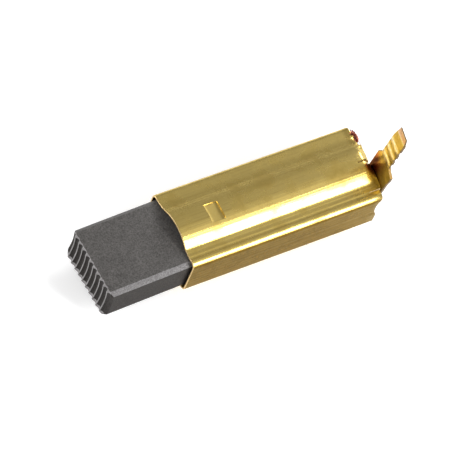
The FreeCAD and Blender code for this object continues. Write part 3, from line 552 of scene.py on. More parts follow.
def make_terminal(sizes):
    """The end plate with its shoulders, bent corner, pressed ribs and coined tip."""
    heights = [PLATE_FOOT, -5.05, -3, -1, 0.5, 1.6, 1.9, 2.2, 2.6, 3.0, SHOULDERS[0], 3.35, 3.7]
    for middle in RIBS:
        heights += spread(middle - RIB_HALF, middle + RIB_HALF, 10)
        heights += [middle + RIB_HALF + 0.12, middle + RIB_HALF + 0.4]
    heights += [9.55, 10.0, 10.2, 10.5, 10.62, 10.7, 10.85, 11.35, 11.6, TAB_TOP]
    heights = sorted(set(round(z, 3) for z in heights))
    shares = [0, 0.03, 0.1, 0.2, 0.35, 0.5, 0.65, 0.8, 0.9, 0.97, 1.0]
    height = sizes.rib_height / MM

    def place(column, row):
        z = heights[row]
        near, far = plate_edges(z)
        share = shares[column]
        y = near + (far - near) * share
        rise = 0.0
        slant = RIB_SLANT * (share - 0.5)
        for middle in RIBS:
            off = abs(z - slant - middle) / RIB_HALF
            if off < 1:
                inside = smooth(min(share, 1 - share), 0.0, 0.1)
                rise = height * (1 - off * off) * inside
        bent = CORNER_BEND * smooth(-y, 1.72, 2.55) * smooth(z, 1.75, 2.1)
        return Vector((bent - rise, y, z))

    obj = sheet_blank("terminal_tab", len(shares) - 1, len(heights) - 1, place)
    face_outwards(obj, lambda mesh: mesh.polygons[0].normal.x < 0)
    # The terminal's cut edges are given a dark colour
    edge = cut_brass("darkened_brass_edge", "dull_edge", "edge_grain")
    # The rib crests get a lighter colour: they are rubbed, and it is a painted highlight as well
    ribs = tab_brass("rubbed_and_lit_terminal_brass", "rubbed_and_lit_tab")
    coat(obj, tab_brass("terminal_brass", "tab"), edge, ribs)
    for face in obj.data.polygons:
        share = (face.center.y - plate_edges(face.center.z)[0]) / (2 * TAB_HALF)
        off = min(abs(face.center.z - RIB_SLANT * (share - 0.5) - middle) for middle in RIBS)
        if off < 0.7 * RIB_HALF and 0.06 < share < 0.94:
            face.material_index = WORKED
    apply_modifier(
        obj, "SOLIDIFY", thickness=sizes.tab_sheet / MM, offset=-1.0, use_even_offset=True,
        material_offset_rim=CUT_EDGE,
    )
    middle = sizes.tab_sheet / MM / 2
    for vertex in obj.data.vertices:
        z = vertex.co.z
        step = smooth(z, COINED_FROM, COINED_FROM + 0.12)
        coined = 0.55 * step + 0.45 * smooth(z, COINED_FROM + 0.1, TAB_TOP)
        vertex.co.x = middle + (vertex.co.x - middle) * (1 - COINED_SHARE * coined)
    round_edges(obj, sizes.edge_round / MM, 40, CUT_EDGE)
    apply_modifier(obj, "WEIGHTED_NORMAL", keep_sharp=True, weight=70)
    finish_piece(obj, "holder", ["terminal_blade"], placed=PLATE_FRAME)


# ---- the carbon

def hollow_x(z):
    """The hollow of the contact face: a cylinder round the commutator's axis."""
    half = CARBON_HALF[1]
    centre = -CARBON_FRONT - math.sqrt(CONTACT_RADIUS**2 - half**2)
    return centre + math.sqrt(CONTACT_RADIUS**2 - z * z)


def block_edge(z, bevel):
    """Half the block's width at a height, with its long bevels."""
    half_width, half_height = CARBON_HALF
    return half_width - max(0.0, abs(z) - (half_height - bevel))


def press_carbon(sizes):
    """The bevelled block with its hollow, grooved contact face and its socket."""
    bevel = sizes.long_bevel / MM
    half_height = CARBON_HALF[1]
    heights = [-half_height, *spread(bevel - half_height, half_height - bevel, 10), half_height]

    def place(column, row):
        z = heights[row]
        side = 1 if column else -1
        front_z = z * (half_height - FRONT_BEVEL) / half_height
        return Vector((hollow_x(front_z), side * (block_edge(z, bevel) - SIDE_BEVEL), front_z))

    obj = sheet_blank("pressed_carbon", 1, len(heights) - 1, place)
    face_outwards(obj, lambda mesh: mesh.polygons[3].normal.x < 0)

    def to_block_sides(co):
        z = co.z * half_height / (half_height - FRONT_BEVEL)
        flat = smooth(half_height - abs(z), 0, bevel)
        co.x = hollow_x(z) + FRONT_BEVEL + (SIDE_BEVEL - FRONT_BEVEL) * flat
        co.y += math.copysign(SIDE_BEVEL, co.y)
        co.z = z

    def to_rear_bevel(co):
        co.x = CARBON_REAR - REAR_BEVEL

    def to_rear_face(co):
        co.x = CARBON_REAR
        co.y -= math.copysign(REAR_BEVEL, co.y)
        co.z *= (half_height - REAR_BEVEL) / half_height

    edit(obj)
    bpy.ops.mesh.select_mode(type="FACE")
    bpy.ops.mesh.select_all(action="SELECT")
    bpy.ops.mesh.region_to_loop()
    for shape_ring in (to_block_sides, to_rear_bevel, to_rear_face):
        bpy.ops.mesh.extrude_edges_move(TRANSFORM_OT_translate={"value": (0.5, 0, 0)})
        mesh = bmesh.from_edit_mesh(obj.data)
        for vertex in mesh.verts:
            if vertex.select:
                shape_ring(vertex.co)
        bmesh.update_edit_mesh(obj.data)
    bpy.ops.mesh.edge_face_add()
    bpy.ops.mesh.select_all(action="SELECT")
    bpy.ops.mesh.normals_make_consistent(inside=False)
    leave_edit()

    for cutter in (groove_cutters(sizes), socket_cutter()):
        apply_modifier(obj, "BOOLEAN", object=cutter, operation="DIFFERENCE", solver="EXACT")
        bpy.data.objects.remove(cutter, do_unlink=True)

    for name, base, gloss in (
        ("pressed_graphite", "carbon", 0.3), ("rubbed_and_lit_graphite", "rubbed_and_lit", 0.3),
        ("sliding_and_shaded_graphite", "sliding_and_shaded", 0.14), ("ridge_graphite", "ridge", 0.3),
    ):
        coat(obj, electrographite(name, base, gloss))
    rubbed_and_lit, sliding_and_shaded, ridge = 1, 2, 3
    axis_x = hollow_x(0) - CONTACT_RADIUS
    for face in obj.data.polygons:
        middle, normal = face.center, face.normal
        from_axis = math.hypot(middle.x - axis_x, middle.z)
        crest = middle.x < -12 and abs(from_axis - CONTACT_RADIUS) < 0.02
        groove = middle.x < -11.5 and from_axis > 16.04 and normal.x < 0.2 and not (
            abs(normal.y) > 0.99 or abs(normal.z) > 0.65
        )
        bevelled = abs(normal.z) > 0.3 and (abs(normal.y) > 0.3 or abs(normal.x) > 0.3)
        front = middle.x < -CARBON_FRONT + 1 and normal.x < -0.3 and from_axis > 16
        rim = front and abs(from_axis - CONTACT_RADIUS) < 0.75 and abs(middle.z) > 2.6
        if abs(normal.y) > 0.95 and abs(middle.y) > 5.2:
            face.material_index = sliding_and_shaded
        elif crest or rim:
            face.material_index = ridge
        # Painted highlight: only the near side's bevels get the lighter rubbed colour; the far
        # ones keep the ground colour
        elif bevelled and middle.x > -12.2 and middle.y < 0:
            face.material_index = rubbed_and_lit
        # Painted shade: the grooves get the darkest colour, that of the narrow walls
        elif groove:
            face.material_index = sliding_and_shaded
    round_edges(obj, 0.05, 30, rubbed_and_lit)
    finish_piece(obj, "brush", ["carbon_block"], placed=LEAN_FRAME, smooth_angle=32)


def groove_cutters(sizes):
    """Eleven rings round the commutator's axis, one for each groove, as one object."""
    radius = sizes.groove_radius / MM
    axis_x = hollow_x(0) - CONTACT_RADIUS
    deselect_all()
    bpy.ops.mesh.primitive_circle_add(
        vertices=20, radius=radius, fill_type="NGON",
        location=(axis_x + CONTACT_RADIUS + GROOVE_DEPTH - radius, 0, 0),
    )
    ring = bpy.context.object
    bpy.ops.object.transform_apply(location=True, rotation=True, scale=True)
    edit(ring)
    reach = math.radians(14)
    bpy.ops.transform.rotate(value=reach, orient_axis="Y", center_override=(axis_x, 0, 0))
    bpy.ops.mesh.spin(steps=22, angle=-2 * reach, center=(axis_x, 0, 0), axis=(0, 1, 0))
    bpy.ops.mesh.select_all(action="SELECT")
    bpy.ops.mesh.remove_doubles(threshold=0.0001)
    bpy.ops.mesh.normals_make_consistent(inside=False)
    leave_edit()
    zs = [v.co.z for v in ring.data.vertices]
    if min(zs) > -3.2 or max(zs) < 3.2:
        raise RuntimeError("the groove cutter doesn't pass through the whole face")
    apply_modifier(
        ring, "ARRAY", count=GROOVE_COUNT, use_relative_offset=False, use_constant_offset=True,
        constant_offset_displace=(0, 1.0, 0),
    )
    ring.data.transform(Matrix.Translation((0, -(GROOVE_COUNT - 1) / 2, 0)))
    return ring


def socket_cutter():
    """A round bar for the socket, which goes five millimetres into the carbon from behind."""
    deselect_all()
    bpy.ops.mesh.primitive_cylinder_add(
        vertices=40, radius=SOCKET_RADIUS, depth=6, location=(CARBON_REAR - 2, 0, 0),
        rotation=(0, math.pi / 2, 0),
    )
    return bpy.context.object


# ---- the spring and the braid

def wind_spring(sizes):
    """Open coils of round wire between two closed end coils."""
    wire = sizes.wire / MM
    first, last = SPRING_ENDS[0] + wire / 2, SPRING_ENDS[1] - wire / 2
    open_pitch = (last - first - 2 * CLOSED_PITCH) / OPEN_COILS
    runs = (
        (first, CLOSED_PITCH, 1),
        (first + CLOSED_PITCH, open_pitch, OPEN_COILS),
        (last - CLOSED_PITCH, CLOSED_PITCH, 1),
    )
    parts = []
    for start, pitch, turns in runs:
        deselect_all()
        bpy.ops.mesh.primitive_circle_add(
            vertices=14, radius=wire / 2, location=(start, COIL_RADIUS, 0), fill_type="NOTHING"
        )
        part = bpy.context.object
        bpy.ops.object.transform_apply(location=True, rotation=True, scale=True)
        apply_modifier(
            part, "SCREW", axis="X", angle=2 * math.pi, screw_offset=pitch, iterations=turns,
            steps=36, render_steps=36, use_smooth_shade=True,
        )
        parts.append(part)
    select(*parts)
    bpy.ops.object.join()
    obj = bpy.context.object
    obj.name = "coil_spring"
    edit(obj)
    bpy.ops.mesh.remove_doubles(threshold=0.001)
    bpy.ops.mesh.select_all(action="DESELECT")
    bpy.ops.mesh.select_non_manifold(extend=False)
    bpy.ops.mesh.edge_face_add()
    bpy.ops.mesh.select_all(action="SELECT")
    bpy.ops.mesh.normals_make_consistent(inside=False)
    leave_edit()
    coat(obj, spring_steel())
    finish_piece(obj, "holder", ["compression_spring"], smooth_angle=60)
    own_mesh(obj)


def smooth_line(name, points):
    """A smooth open line that the points steer, as a curve object outside the scene."""
    curve = bpy.data.curves.new(name, "CURVE")
    curve.dimensions = "3D"
    spline = curve.splines.new("NURBS")
    spline.points.add(len(points) - 1)
    for point, place in zip(spline.points, points):
        point.co = (*place, 1)
    spline.order_u = 3
    spline.use_endpoint_u = True
    return bpy.data.objects.new(name, curve)


def strand(points, radius, sides=8):
    """A wire along points, as a tube in the active scene."""
    obj = smooth_line("strand", points)
    obj.data.splines[0].resolution_u = 3
    obj.data.bevel_depth = radius
    obj.data.bevel_resolution = max(0, sides // 4 - 1)
    obj.data.use_fill_caps = True
    bpy.context.collection.objects.link(obj)
    return obj


def join_strands(strands, name):
    """Makes wires one mesh of bare copper."""
    select(*strands)
    bpy.ops.object.convert(target="MESH")
    bpy.ops.object.join()
    obj = bpy.context.object
    obj.name = name
    obj.data.materials.clear()
    coat(obj, bare_copper())
    return obj


def along_path(path, share):
    """The place and the direction at a share of a path's length."""
    lengths = [0.0]
    for a, b in zip(path, path[1:]):
        lengths.append(lengths[-1] + (b - a).length)
    goal = share * lengths[-1]
    for number in range(len(path) - 1):
        if goal <= lengths[number + 1] or number == len(path) - 2:
            step = (goal - lengths[number]) / (lengths[number + 1] - lengths[number])
            a, b = path[number], path[number + 1]
            return a.lerp(b, step), (b - a).normalized()


def shunt_route(points, steps):
    """Evenly spaced points, read from the smooth line that the shunt follows."""
    route = smooth_line("shunt_route", points)
    route.data.splines[0].resolution_u = 16
    mesh = bpy.data.meshes.new_from_object(route)
    places = [vertex.co.copy() for vertex in mesh.vertices]
    bpy.data.meshes.remove(mesh)
    bpy.data.objects.remove(route)
    return [along_path(places, share)[0] for share in spread(0, 1, steps)]


def twist_bundle(path, strands, lay_radius, wire_radius, turns, spread_end=0.0):
    """Wires twisted round a path; spread_end splays them apart at its far end."""
    chance = random.Random(7)
    tubes = []
    steps = len(path) - 1
    for number in range(strands):
        start = 2 * math.pi * number / strands
        shift = Vector([chance.uniform(-1, 1) for _ in range(3)])
        points = []
        for step in range(steps + 1):
            share = step / steps
            place, way = along_path(path, share)
            side = way.cross(Vector((0, 0, 1))).normalized()
            up = side.cross(way).normalized()
            turn = start + turns * 2 * math.pi * share
            loose = smooth(share, 0.55, 1.0) * spread_end
            radius = lay_radius * (1 + 0.5 * loose)
            offset = side * math.cos(turn) * radius + up * math.sin(turn) * radius
            points.append(place + offset + shift * loose * 0.35)
        tubes.append(strand(points, wire_radius))
    return tubes


def lay_braid(sizes):
    """The copper shunt inside the spring, which gathers as the carbon goes in."""
    wire = sizes.strand / MM
    path = shunt_route(SHUNT_LAID, 60)
    tubes = twist_bundle(path, WIRES, LAID_RADIUS - wire, wire, 7)
    core = strand(path, LAID_RADIUS - wire * 1.6)
    obj = join_strands([*tubes, core], "shunt_strands")
    finish_piece(obj, "holder", ["shunt_braid"], smooth_angle=60)
    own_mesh(obj)


def crush_braid_end(sizes):
    """The end of the shunt: nipped under the far flap, crushed flat and frayed."""
    wire = sizes.strand / MM
    path = shunt_route(SHUNT_CRUSHED, 40)
    tubes = twist_bundle(path, WIRES, CRUSHED_RADIUS - wire, wire, 3, spread_end=0.9)
    core = strand(path[:-6], CRUSHED_RADIUS - wire * 1.7)
    chance = random.Random(11)
    for number in range(16):
        start = Vector((31.12, 3.05 + 0.13 * number, 3.0 + chance.uniform(-0.28, 0.3)))
        ends = [start]
        heading = Vector((chance.uniform(-0.05, 0.12), chance.uniform(-0.5, 0.6), 0.0))
        for _ in range(4):
            heading += Vector((0, chance.uniform(-0.25, 0.25), chance.uniform(-0.2, 0.2)))
            ends.append(ends[-1] + heading.normalized() * 0.22)
        for place in ends:
            place[:] = [
                min(high, max(low, at)) for low, at, high in zip(FRAY_LOW, place, FRAY_HIGH)
            ]
        tubes.append(strand(ends, wire * 0.55, sides=4))
    tubes.append(strand(STRAY_WIRE, wire * 0.4, sides=4))
    obj = join_strands([*tubes, core], "frayed_shunt_end")
    finish_piece(obj, "holder", ["shunt_braid"], smooth_angle=60)


# ---- materials

def linear(hex_colour, alpha=1.0):
    """An sRGB hex colour as linear values for a shader socket."""
    values = []
    for start in (1, 3, 5):
        channel = int(hex_colour[start:start + 2], 16) / 255
        if channel <= 0.04045:
            values.append(channel / 12.92)
        else:
            values.append(((channel + 0.055) / 1.055) ** 2.4)
    return (*values, alpha)


def new_material(name):
    """A material, the function that adds a node to it, and one that feeds its own shader."""
    material = bpy.data.materials.new(name)
    material.use_nodes = True
    tree = material.node_tree

    def plug(node, inputs):
        """Sets inputs by name or number, as From_Min or _0; a node gives its first output."""
        for key, value in inputs.items():
            label = key.replace("_", " ").strip()
            socket = node.inputs[int(label) if label.isdigit() else label]
            if isinstance(value, bpy.types.Node):
                value = value.outputs[0]
            if isinstance(value, bpy.types.NodeSocket):
                tree.links.new(value, socket)
            else:
                socket.default_value = value

    def add(kind, settings=None, **inputs):
        node = tree.nodes.new(f"ShaderNode{kind}")
        for key, value in (settings or {}).items():
            setattr(node, key, value)
        plug(node, inputs)
        return node

    def feed(**inputs):
        plug(tree.nodes["Principled BSDF"], inputs)

    return material, add, feed


def colour(name):
    """A colour that the user chose in the panel, as linear values."""
    return (*getattr(bpy.context.scene.brush_colours, name), 1.0)


def rolled_brass():
    """Rolled brass sheet: fine lines along the rolling direction, light tarnish, soft gloss."""
    material, add, feed = new_material("rolled_brass")
    place = add("TexCoord").outputs["Object"]
    # Rolling marks are a few hundredths of a millimetre apart; drawn at 0.12 mm to show
    lines = add("Mapping", Vector=place, Scale=(150, 8000, 8000))
    rolled = add("TexNoise", Vector=lines, Scale=1.0, Detail=3.0)
    streaks = add("MapRange", Value=rolled, From_Min=0.35, From_Max=0.8, To_Max=0.35)
    # Finger marks and tarnish lie in patches of 2 to 4 mm
    stains = add("TexNoise", Vector=place, Scale=330.0, Detail=6.0, Roughness=0.6)
    patches = add("MapRange", Value=stains, From_Min=0.4, From_Max=0.72)
    # Draw lines from the folding tool run the whole length, 0.3 to 0.5 mm apart
    long_lines = add("Mapping", Vector=place, Scale=(25, 2600, 2600))
    drawn = add("TexNoise", Vector=long_lines, Scale=1.0, Detail=2.0)
    scored = add("MapRange", Value=drawn, From_Min=0.5, From_Max=0.68, To_Max=0.5)
    skin = add("Math", LARGER, _0=patches, _1=streaks)
    share = add("Math", LARGER, _0=skin, _1=scored)
    mixed = add("Mix", RGBA, _0=share, _6=colour("brass"), _7=colour("tarnish"))
    # Painted shade: the narrow walls are toned darker and browner, and so is the rear end, part
    # way
    split = add("SeparateXYZ", Vector=place)
    sideways = add("Math", {"operation": "ABSOLUTE"}, _0=split.outputs[1])
    wall = add("MapRange", Value=sideways, From_Min=5.75 * MM, From_Max=6.0 * MM)
    end = add(
        "MapRange", Value=split.outputs[0], From_Min=29.5 * MM, From_Max=30.1 * MM, To_Max=0.4
    )
    wall_shade_and_rear_tone = add("Math", LARGER, _0=wall, _1=end)
    wall_shaded_skin = add(
        "Mix", {**RGBA, "blend_type": "MULTIPLY"}, _0=wall_shade_and_rear_tone,
        _6=mixed.outputs[2], _7=colour("painted_wall_shade"),
    )
    rough = add("MapRange", Value=stains, From_Min=0.3, From_Max=0.7, To_Min=0.205, To_Max=0.325)
    # The folded sheet isn't quite flat: long shallow waves, 3 mm across
    waves = add("Mapping", Vector=place, Scale=(120, 330, 330))
    wavy = add("TexNoise", Vector=waves, Scale=1.0, Detail=2.0)
    normal = None
    for height, strength, depth in ((wavy, 1.0, 0.014), (drawn, 0.6, 0.05), (rolled, 0.5, 0.004)):
        under = {"Normal": normal} if normal else {}
        normal = add("Bump", Height=height, Strength=strength, Distance=depth * MM, **under)
    # A thin clear film over the metal gives the white veil round the highlights
    film = add("MapRange", Value=wall_shade_and_rear_tone, To_Min=0.4, To_Max=0.0)
    # Brass stays yellow at a grazing angle, which the specular tint keeps
    feed(
        Metallic=1.0, Base_Color=wall_shaded_skin.outputs[2], Roughness=rough,
        Normal=normal, Specular_Tint=(0.95, 0.9, 0.7, 1.0),
        Coat_Weight=film, Coat_Roughness=0.4,
    )
    return material


def cut_brass(name, base, grain_colour):
    """A sheared edge of the sheet: bare and lighter on the sleeve, partly a painted highlight, and
    darker on the terminal.
    """
    material, add, feed = new_material(name)
    place = add("TexCoord").outputs["Object"]
    # Shearing leaves a grain of about 0.05 mm across the edge; drawn at 0.1 mm to show
    grain = add("TexNoise", Vector=place, Scale=9000.0, Detail=2.0)
    mixed = add("Mix", RGBA, _0=grain, _6=colour(base), _7=colour(grain_colour))
    feed(Metallic=1.0, Base_Color=mixed.outputs[2], Roughness=0.42)
    return material


def pressed_brass():
    """The floor of the stamped mark: matt from the punch, slightly greener."""
    material, add, feed = new_material("punched_brass")
    place = add("TexCoord").outputs["Object"]
    # The punch's face leaves a grain of about 0.2 mm
    grain = add("TexNoise", Vector=place, Scale=5000.0, Detail=3.0)
    mixed = add("Mix", RGBA, _0=grain, _6=colour("mark_floor"), _7=colour("tarnish"))
    bump = add("Bump", Height=grain, Strength=0.4, Distance=0.01 * MM)
    feed(Metallic=1.0, Base_Color=mixed.outputs[2], Roughness=0.5, Normal=bump)
    return material


def tab_brass(name, base):
    """The terminal's brass: lighter on the ribs, where they are rubbed and carry a painted
    highlight, and painted dark red at its foot, as a reflection of the copper braid and the dark
    slot below.
    """
    material, add, feed = new_material(name)
    place = add("TexCoord").outputs["Object"]
    # Handling marks of about 0.4 mm
    grain = add("TexNoise", Vector=place, Scale=2500.0, Detail=4.0)
    body = add("Mix", RGBA, _0=grain, _6=colour(base), _7=colour("tarnish"))
    split = add("SeparateXYZ", Vector=place)
    tip = add(
        "MapRange", SOFT_STEP, Value=split.outputs[2], From_Min=14.1 * MM, From_Max=14.3 * MM
    )
    tipped = add("Mix", RGBA, _0=tip, _6=body.outputs[2], _7=colour("coined_tip"))
    # Painted reflection: the plate's foot is tinted dark red for about 3 mm, for the copper braid
    # and the dark slot that it mirrors
    stretched = add("Mapping", Vector=place, Scale=(1.0, 1.0, 0.62))
    reflection_distance = add(
        "VectorMath", {"operation": "DISTANCE"}, _0=stretched,
        _1=(31.3 * MM, -0.2 * MM, 3.7 * 0.62 * MM),
    )
    reflection_share = add(
        "MapRange", SOFT_STEP, Value=reflection_distance.outputs["Value"], From_Min=1.3 * MM,
        From_Max=2.9 * MM, To_Min=0.9, To_Max=0.0,
    )
    reflection_tinted = add("Mix", RGBA, _0=reflection_share, _6=tipped.outputs[2], _7=colour("painted_copper_reflection"))
    rough = add("MapRange", Value=grain, To_Min=0.22, To_Max=0.42)
    feed(Metallic=1.0, Base_Color=reflection_tinted.outputs[2], Roughness=rough)
    return material


def electrographite(name, base, gloss):
    """Pressed electrographite: dark grey, matt, finely speckled with brighter flakes."""
    material, add, feed = new_material(name)
    place = add("TexCoord").outputs["Object"]
    # The powder's grain is about 0.05 mm; drawn at 0.2 mm to show in the picture
    grain = add("TexNoise", Vector=place, Scale=4800.0, Detail=2.0, Roughness=0.7)
    share = add("MapRange", Value=grain, From_Min=0.3, From_Max=0.75)
    speckled = add("Mix", RGBA, _0=share, _6=colour(base), _7=colour(f"{base}_flake"))
    # The pressing is denser in clouds of about 1.5 mm
    cloud = add("TexNoise", Vector=place, Scale=700.0, Detail=3.0)
    shade = add("MapRange", Value=cloud, From_Min=0.3, From_Max=0.7, To_Min=0.88, To_Max=1.08)
    toned = add("VectorMath", {"operation": "SCALE"}, _0=speckled.outputs[2], Scale=shade)
    bump = add("Bump", Height=grain, Strength=0.6, Distance=0.03 * MM)
    feed(Base_Color=toned, Roughness=0.55, Specular_IOR_Level=gloss, Normal=bump)
    return material


def bare_copper():
    """Fine bare copper wire: pinkish red, dulled to brown in patches."""
    material, add, feed = new_material("bare_copper_wire")
    place = add("TexCoord").outputs["Object"]
    # Oxide patches of about half a millimetre
    patch = add("TexNoise", Vector=place, Scale=2000.0, Detail=3.0)
    share = add("MapRange", Value=patch, From_Min=0.35, From_Max=0.65)
    mixed = add("Mix", RGBA, _0=share, _6=colour("copper"), _7=colour("oxide"))
    feed(Metallic=1.0, Base_Color=mixed.outputs[2], Roughness=0.4)
    return material


def tamped_powder():
    """Copper powder tamped in the socket: matt, grainy, brownish."""
    material, add, feed = new_material("tamped_copper_powder")
    place = add("TexCoord").outputs["Object"]
    # Powder grains of about 0.1 mm
    grain = add("TexVoronoi", Vector=place, Scale=9000.0)
    mixed = add("Mix", RGBA, _0=grain, _6=colour("oxide"), _7=colour("copper"))
    bump = add("Bump", Height=grain, Strength=0.6, Distance=0.03 * MM)
    feed(Metallic=0.7, Base_Color=mixed.outputs[2], Roughness=0.6, Normal=bump)
    return material


def spring_steel():
    """Drawn spring wire: neutral grey, in patches of lighter and darker gloss."""
    material, add, feed = new_material("drawn_spring_wire")
    place = add("TexCoord").outputs["Object"]
    # The die leaves patches of about a quarter of a millimetre
    drawn = add("TexNoise", Vector=place, Scale=4000.0, Detail=3.0)
    mixed = add("Mix", RGBA, _0=drawn, _6=colour("steel"), _7=linear("#77746e"))
    rough = add("MapRange", Value=drawn, To_Min=0.25, To_Max=0.4)
    feed(Metallic=1.0, Base_Color=mixed.outputs[2], Roughness=rough)
    return material


# ---- the studio

def place_camera():
    """The camera that took the photograph, as it was fitted."""
    camera_data = bpy.data.cameras.new("photo_camera")
    camera_data.sensor_width = SENSOR
    camera_data.lens = FOCAL_PIXELS / IMAGE_PIXELS * SENSOR
    camera_data.clip_start = 0.01
    camera_data.clip_end = 10.0
    camera = bpy.data.objects.new("photo_camera", camera_data)
    bpy.context.collection.objects.link(camera)
    turn = Matrix((CAMERA_RIGHT, -CAMERA_DOWN, -CAMERA_FORWARD)).transposed()
    camera.matrix_world = Matrix.Translation(CAMERA_PLACE) @ turn.to_4x4()
    bpy.context.scene.camera = camera


def area_light(name, direction, distance, width, height, watts):
    """A softbox that shines on the brush from a direction, sizes in metres."""
    light_data = bpy.data.lights.new(name, "AREA")
    light_data.shape = "RECTANGLE"
    light_data.size = width
    light_data.size_y = height
    light_data.energy = watts
    light = bpy.data.objects.new(name, light_data)
    bpy.context.collection.objects.link(light)
    way = Vector(direction).normalized()
    light.location = LIT_POINT + way * distance
    light.rotation_euler = way.to_track_quat("Z", "Y").to_euler()


def make_studio():
    """A white card under the brush, the softboxes round it and a pale room."""
    scene = bpy.context.scene
    scene.view_settings.view_transform = "Standard"
    low = CAD_BOX[0]
    deselect_all()
    bpy.ops.mesh.primitive_plane_add(size=1.6, location=(0.012, 0, low.z))
    floor = bpy.context.object
    floor.name = "studio_floor"
    material, add, feed = new_material("white_card")
    # The card glows a little for what looks at it, so that it stays white round the shadow
    rays = add("LightPath").outputs
    seen = add("Math", LARGER, _0=rays["Is Camera Ray"], _1=rays["Is Glossy Ray"])
    also = add("Math", LARGER, _0=seen, _1=rays["Is Transmission Ray"])
    glow = add("Math", {"operation": "MULTIPLY"}, _0=also, _1=CARD_GLOW)
    feed(
        Base_Color=colour("floor"), Roughness=0.7, Emission_Color=(1, 1, 1, 1),
        Emission_Strength=glow,
    )
    coat(floor, material)

    world = bpy.data.worlds.new("studio")
    scene.world = world
    world.use_nodes = True
    background = world.node_tree.nodes["Background"]
    background.inputs["Color"].default_value = (1, 1, 1, 1)
    background.inputs["Strength"].default_value = WORLD_STRENGTH
    for name, setting in SOFTBOXES.items():
        area_light(name, *setting)


# ---- the add-on

def length(name, description, millimetres):
    """A length for the panel, given in millimetres."""
    return FloatProperty(
        name=name, description=description, default=millimetres * MM, min=0.0,
        unit="LENGTH", precision=5,
    )


def tint(name, description, hex_colour):
    """A colour for the panel, given as sRGB hex."""
    return FloatVectorProperty(
        name=name, description=description, default=linear(hex_colour)[:3], min=0.0, max=1.0,
        subtype="COLOR", size=3,
    )


class BrushSizes(bpy.types.PropertyGroup):
    sheet: length("Sheet", "Thickness of the sleeve's brass sheet", 0.25)
    tab_sheet: length("Tab sheet", "Thickness of the terminal's sheet", 0.4)
    edge_round: length("Edge rounding", "Rounding of the sheets' cut edges", 0.11)
    mark_depth: length("Mark depth", "Depth of the stamped mark at its middle", 0.36)
    rib_height: length("Rib height", "How far the terminal's ribs stand out", 0.17)
    long_bevel: length("Long bevel", "Bevel on the carbon's long edges", 0.62)
    groove_radius: length("Groove radius", "Rounding of the contact face's grooves", 0.43)
    wire: length("Spring wire", "Diameter of the spring's wire", 0.55)
    strand: length("Strand", "Radius of one wire of the shunt", 0.12)


class BrushColours(bpy.types.PropertyGroup):
    brass: tint("Brass", "Skin of the rolled sheet", "#e6ca72")
    tarnish: tint("Tarnish", "Darker patches on the brass", "#bfa24e")
    # Painted shade that the narrow walls are toned with, and the rear end part way
    painted_wall_shade: tint("Wall tone", "What the narrow walls are toned with", "#857552")
    # Bare sheared brass, made lighter still as a painted highlight
    cut_edge_and_highlight: tint("Cut edge", "Sheared edge of the sheet", "#ffe0b4")
    # A dark colour given to the terminal's edges
    dull_edge: tint("Terminal's edge", "Browned edge of the terminal", "#614c2c")
    edge_grain: tint("Terminal's edge grain", "Lighter grain in that edge", "#7a6238")
    mark_floor: tint("Mark floor", "Floor of the stamped mark", "#bfae72")
    tab: tint("Terminal", "Skin of the terminal", "#e6d083")
    # Rubbed crests, with a painted highlight in this lighter colour
    rubbed_and_lit_tab: tint("Rubbed terminal", "Crests of the terminal's ribs", "#fff3cf")
    coined_tip: tint("Coined tip", "Flattened tip of the terminal", "#d3b092")
    # A painted reflection: the dark red that the plate's foot mirrors from the braid and the slot
    painted_copper_reflection: tint("Heat tint", "Weld tint at the terminal's foot", "#7c281d")
    carbon: tint("Carbon", "Ground colour of the carbon", "#403e3c")
    carbon_flake: tint("Carbon flakes", "Brighter flakes in the carbon", "#676462")
    # Narrow walls smoothed by sliding, and the grooves, where this dark colour is painted shade
    sliding_and_shaded: tint("Sliding carbon", "Narrow walls, smoothed by sliding", "#1b1816")
    sliding_and_shaded_flake: tint("Sliding flakes", "Brighter flakes there", "#3d3936")
    # Rubbed edges, and the near bevels, where this lighter colour is a painted highlight
    rubbed_and_lit: tint("Rubbed carbon", "Bevels and ridges, rubbed lighter", "#565452")
    rubbed_and_lit_flake: tint("Rubbed flakes", "Brighter flakes there", "#8d8a8b")
    ridge: tint("Ridges", "Crests between the grooves", "#777473")
    ridge_flake: tint("Ridge flakes", "Brighter flakes there", "#a19e9f")
    copper: tint("Copper", "Bare copper of the shunt", "#be7866")
    oxide: tint("Oxide", "Dulled copper", "#6e3428")
    steel: tint("Spring steel", "Wire of the spring", "#a09d96")
    floor: tint("Floor", "Card under the brush", "#fafafa")


class PieceOperator:
    bl_options = {"REGISTER", "UNDO"}

    @property
    def sizes(self):
        return bpy.context.scene.brush_sizes


class BRUSH_OT_sleeve(PieceOperator, bpy.types.Operator):
    """Folds the brass sleeve from one sheet, with its mark and its flaps"""

    bl_idname = "brush.fold_sleeve"
    bl_label = "Fold the sleeve"

    def execute(self, context):
        fold_sleeve(self.sizes)
        return {"FINISHED"}


class BRUSH_OT_terminal(PieceOperator, bpy.types.Operator):
    """Makes the ribbed terminal with its plate"""

    bl_idname = "brush.make_terminal"
    bl_label = "Make the terminal"

    def execute(self, context):
        make_terminal(self.sizes)
        return {"FINISHED"}


class BRUSH_OT_carbon(PieceOperator, bpy.types.Operator):
    """Presses the carbon with its grooves, and gives its copper plug a finish"""

    bl_idname = "brush.press_carbon"
    bl_label = "Press the carbon"

    def execute(self, context):
        press_carbon(self.sizes)
        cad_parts["tamped_plug"].data.materials[0] = tamped_powder()
        return {"FINISHED"}


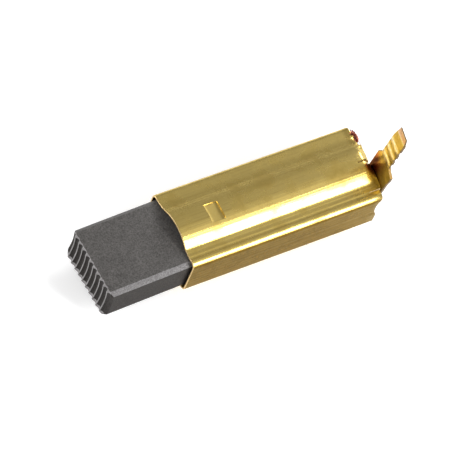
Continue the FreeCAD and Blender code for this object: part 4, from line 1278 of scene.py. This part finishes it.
class BRUSH_OT_spring(PieceOperator, bpy.types.Operator):
    """Winds the coil spring"""

    bl_idname = "brush.wind_spring"
    bl_label = "Wind the spring"

    def execute(self, context):
        wind_spring(self.sizes)
        return {"FINISHED"}


class BRUSH_OT_braid(PieceOperator, bpy.types.Operator):
    """Lays the copper shunt and crushes its end under the flap"""

    bl_idname = "brush.lay_braid"
    bl_label = "Lay the shunt"

    def execute(self, context):
        lay_braid(self.sizes)
        crush_braid_end(self.sizes)
        return {"FINISHED"}


class BRUSH_OT_studio(PieceOperator, bpy.types.Operator):
    """Sets up the floor, the lights and the photograph's camera"""

    bl_idname = "brush.make_studio"
    bl_label = "Set up the studio"

    def execute(self, context):
        make_studio()
        place_camera()
        return {"FINISHED"}


class BRUSH_PT_panel(bpy.types.Panel):
    bl_label = "Carbon brush"
    bl_idname = "BRUSH_PT_panel"
    bl_space_type = "VIEW_3D"
    bl_region_type = "UI"
    bl_category = "Carbon brush"

    def draw(self, context):
        layout = self.layout
        for group in (context.scene.brush_sizes, context.scene.brush_colours):
            box = layout.box()
            for name in group.__annotations__:
                box.prop(group, name)
        for operator in OPERATORS:
            layout.operator(operator.bl_idname)


OPERATORS = (
    BRUSH_OT_sleeve, BRUSH_OT_terminal, BRUSH_OT_carbon, BRUSH_OT_spring, BRUSH_OT_braid,
    BRUSH_OT_studio,
)
CLASSES = (BrushSizes, BrushColours, *OPERATORS, BRUSH_PT_panel)


def register():
    for cls in CLASSES:
        bpy.utils.register_class(cls)
    bpy.types.Scene.brush_sizes = PointerProperty(type=BrushSizes)
    bpy.types.Scene.brush_colours = PointerProperty(type=BrushColours)


def unregister():
    del bpy.types.Scene.brush_colours
    del bpy.types.Scene.brush_sizes
    for cls in reversed(CLASSES):
        bpy.utils.unregister_class(cls)


def main():
    register()
    bpy.ops.brush.fold_sleeve()
    bpy.ops.brush.make_terminal()
    bpy.ops.brush.press_carbon()
    bpy.ops.brush.wind_spring()
    bpy.ops.brush.lay_braid()
    bpy.ops.brush.make_studio()


if __name__ == "__main__":
    main()
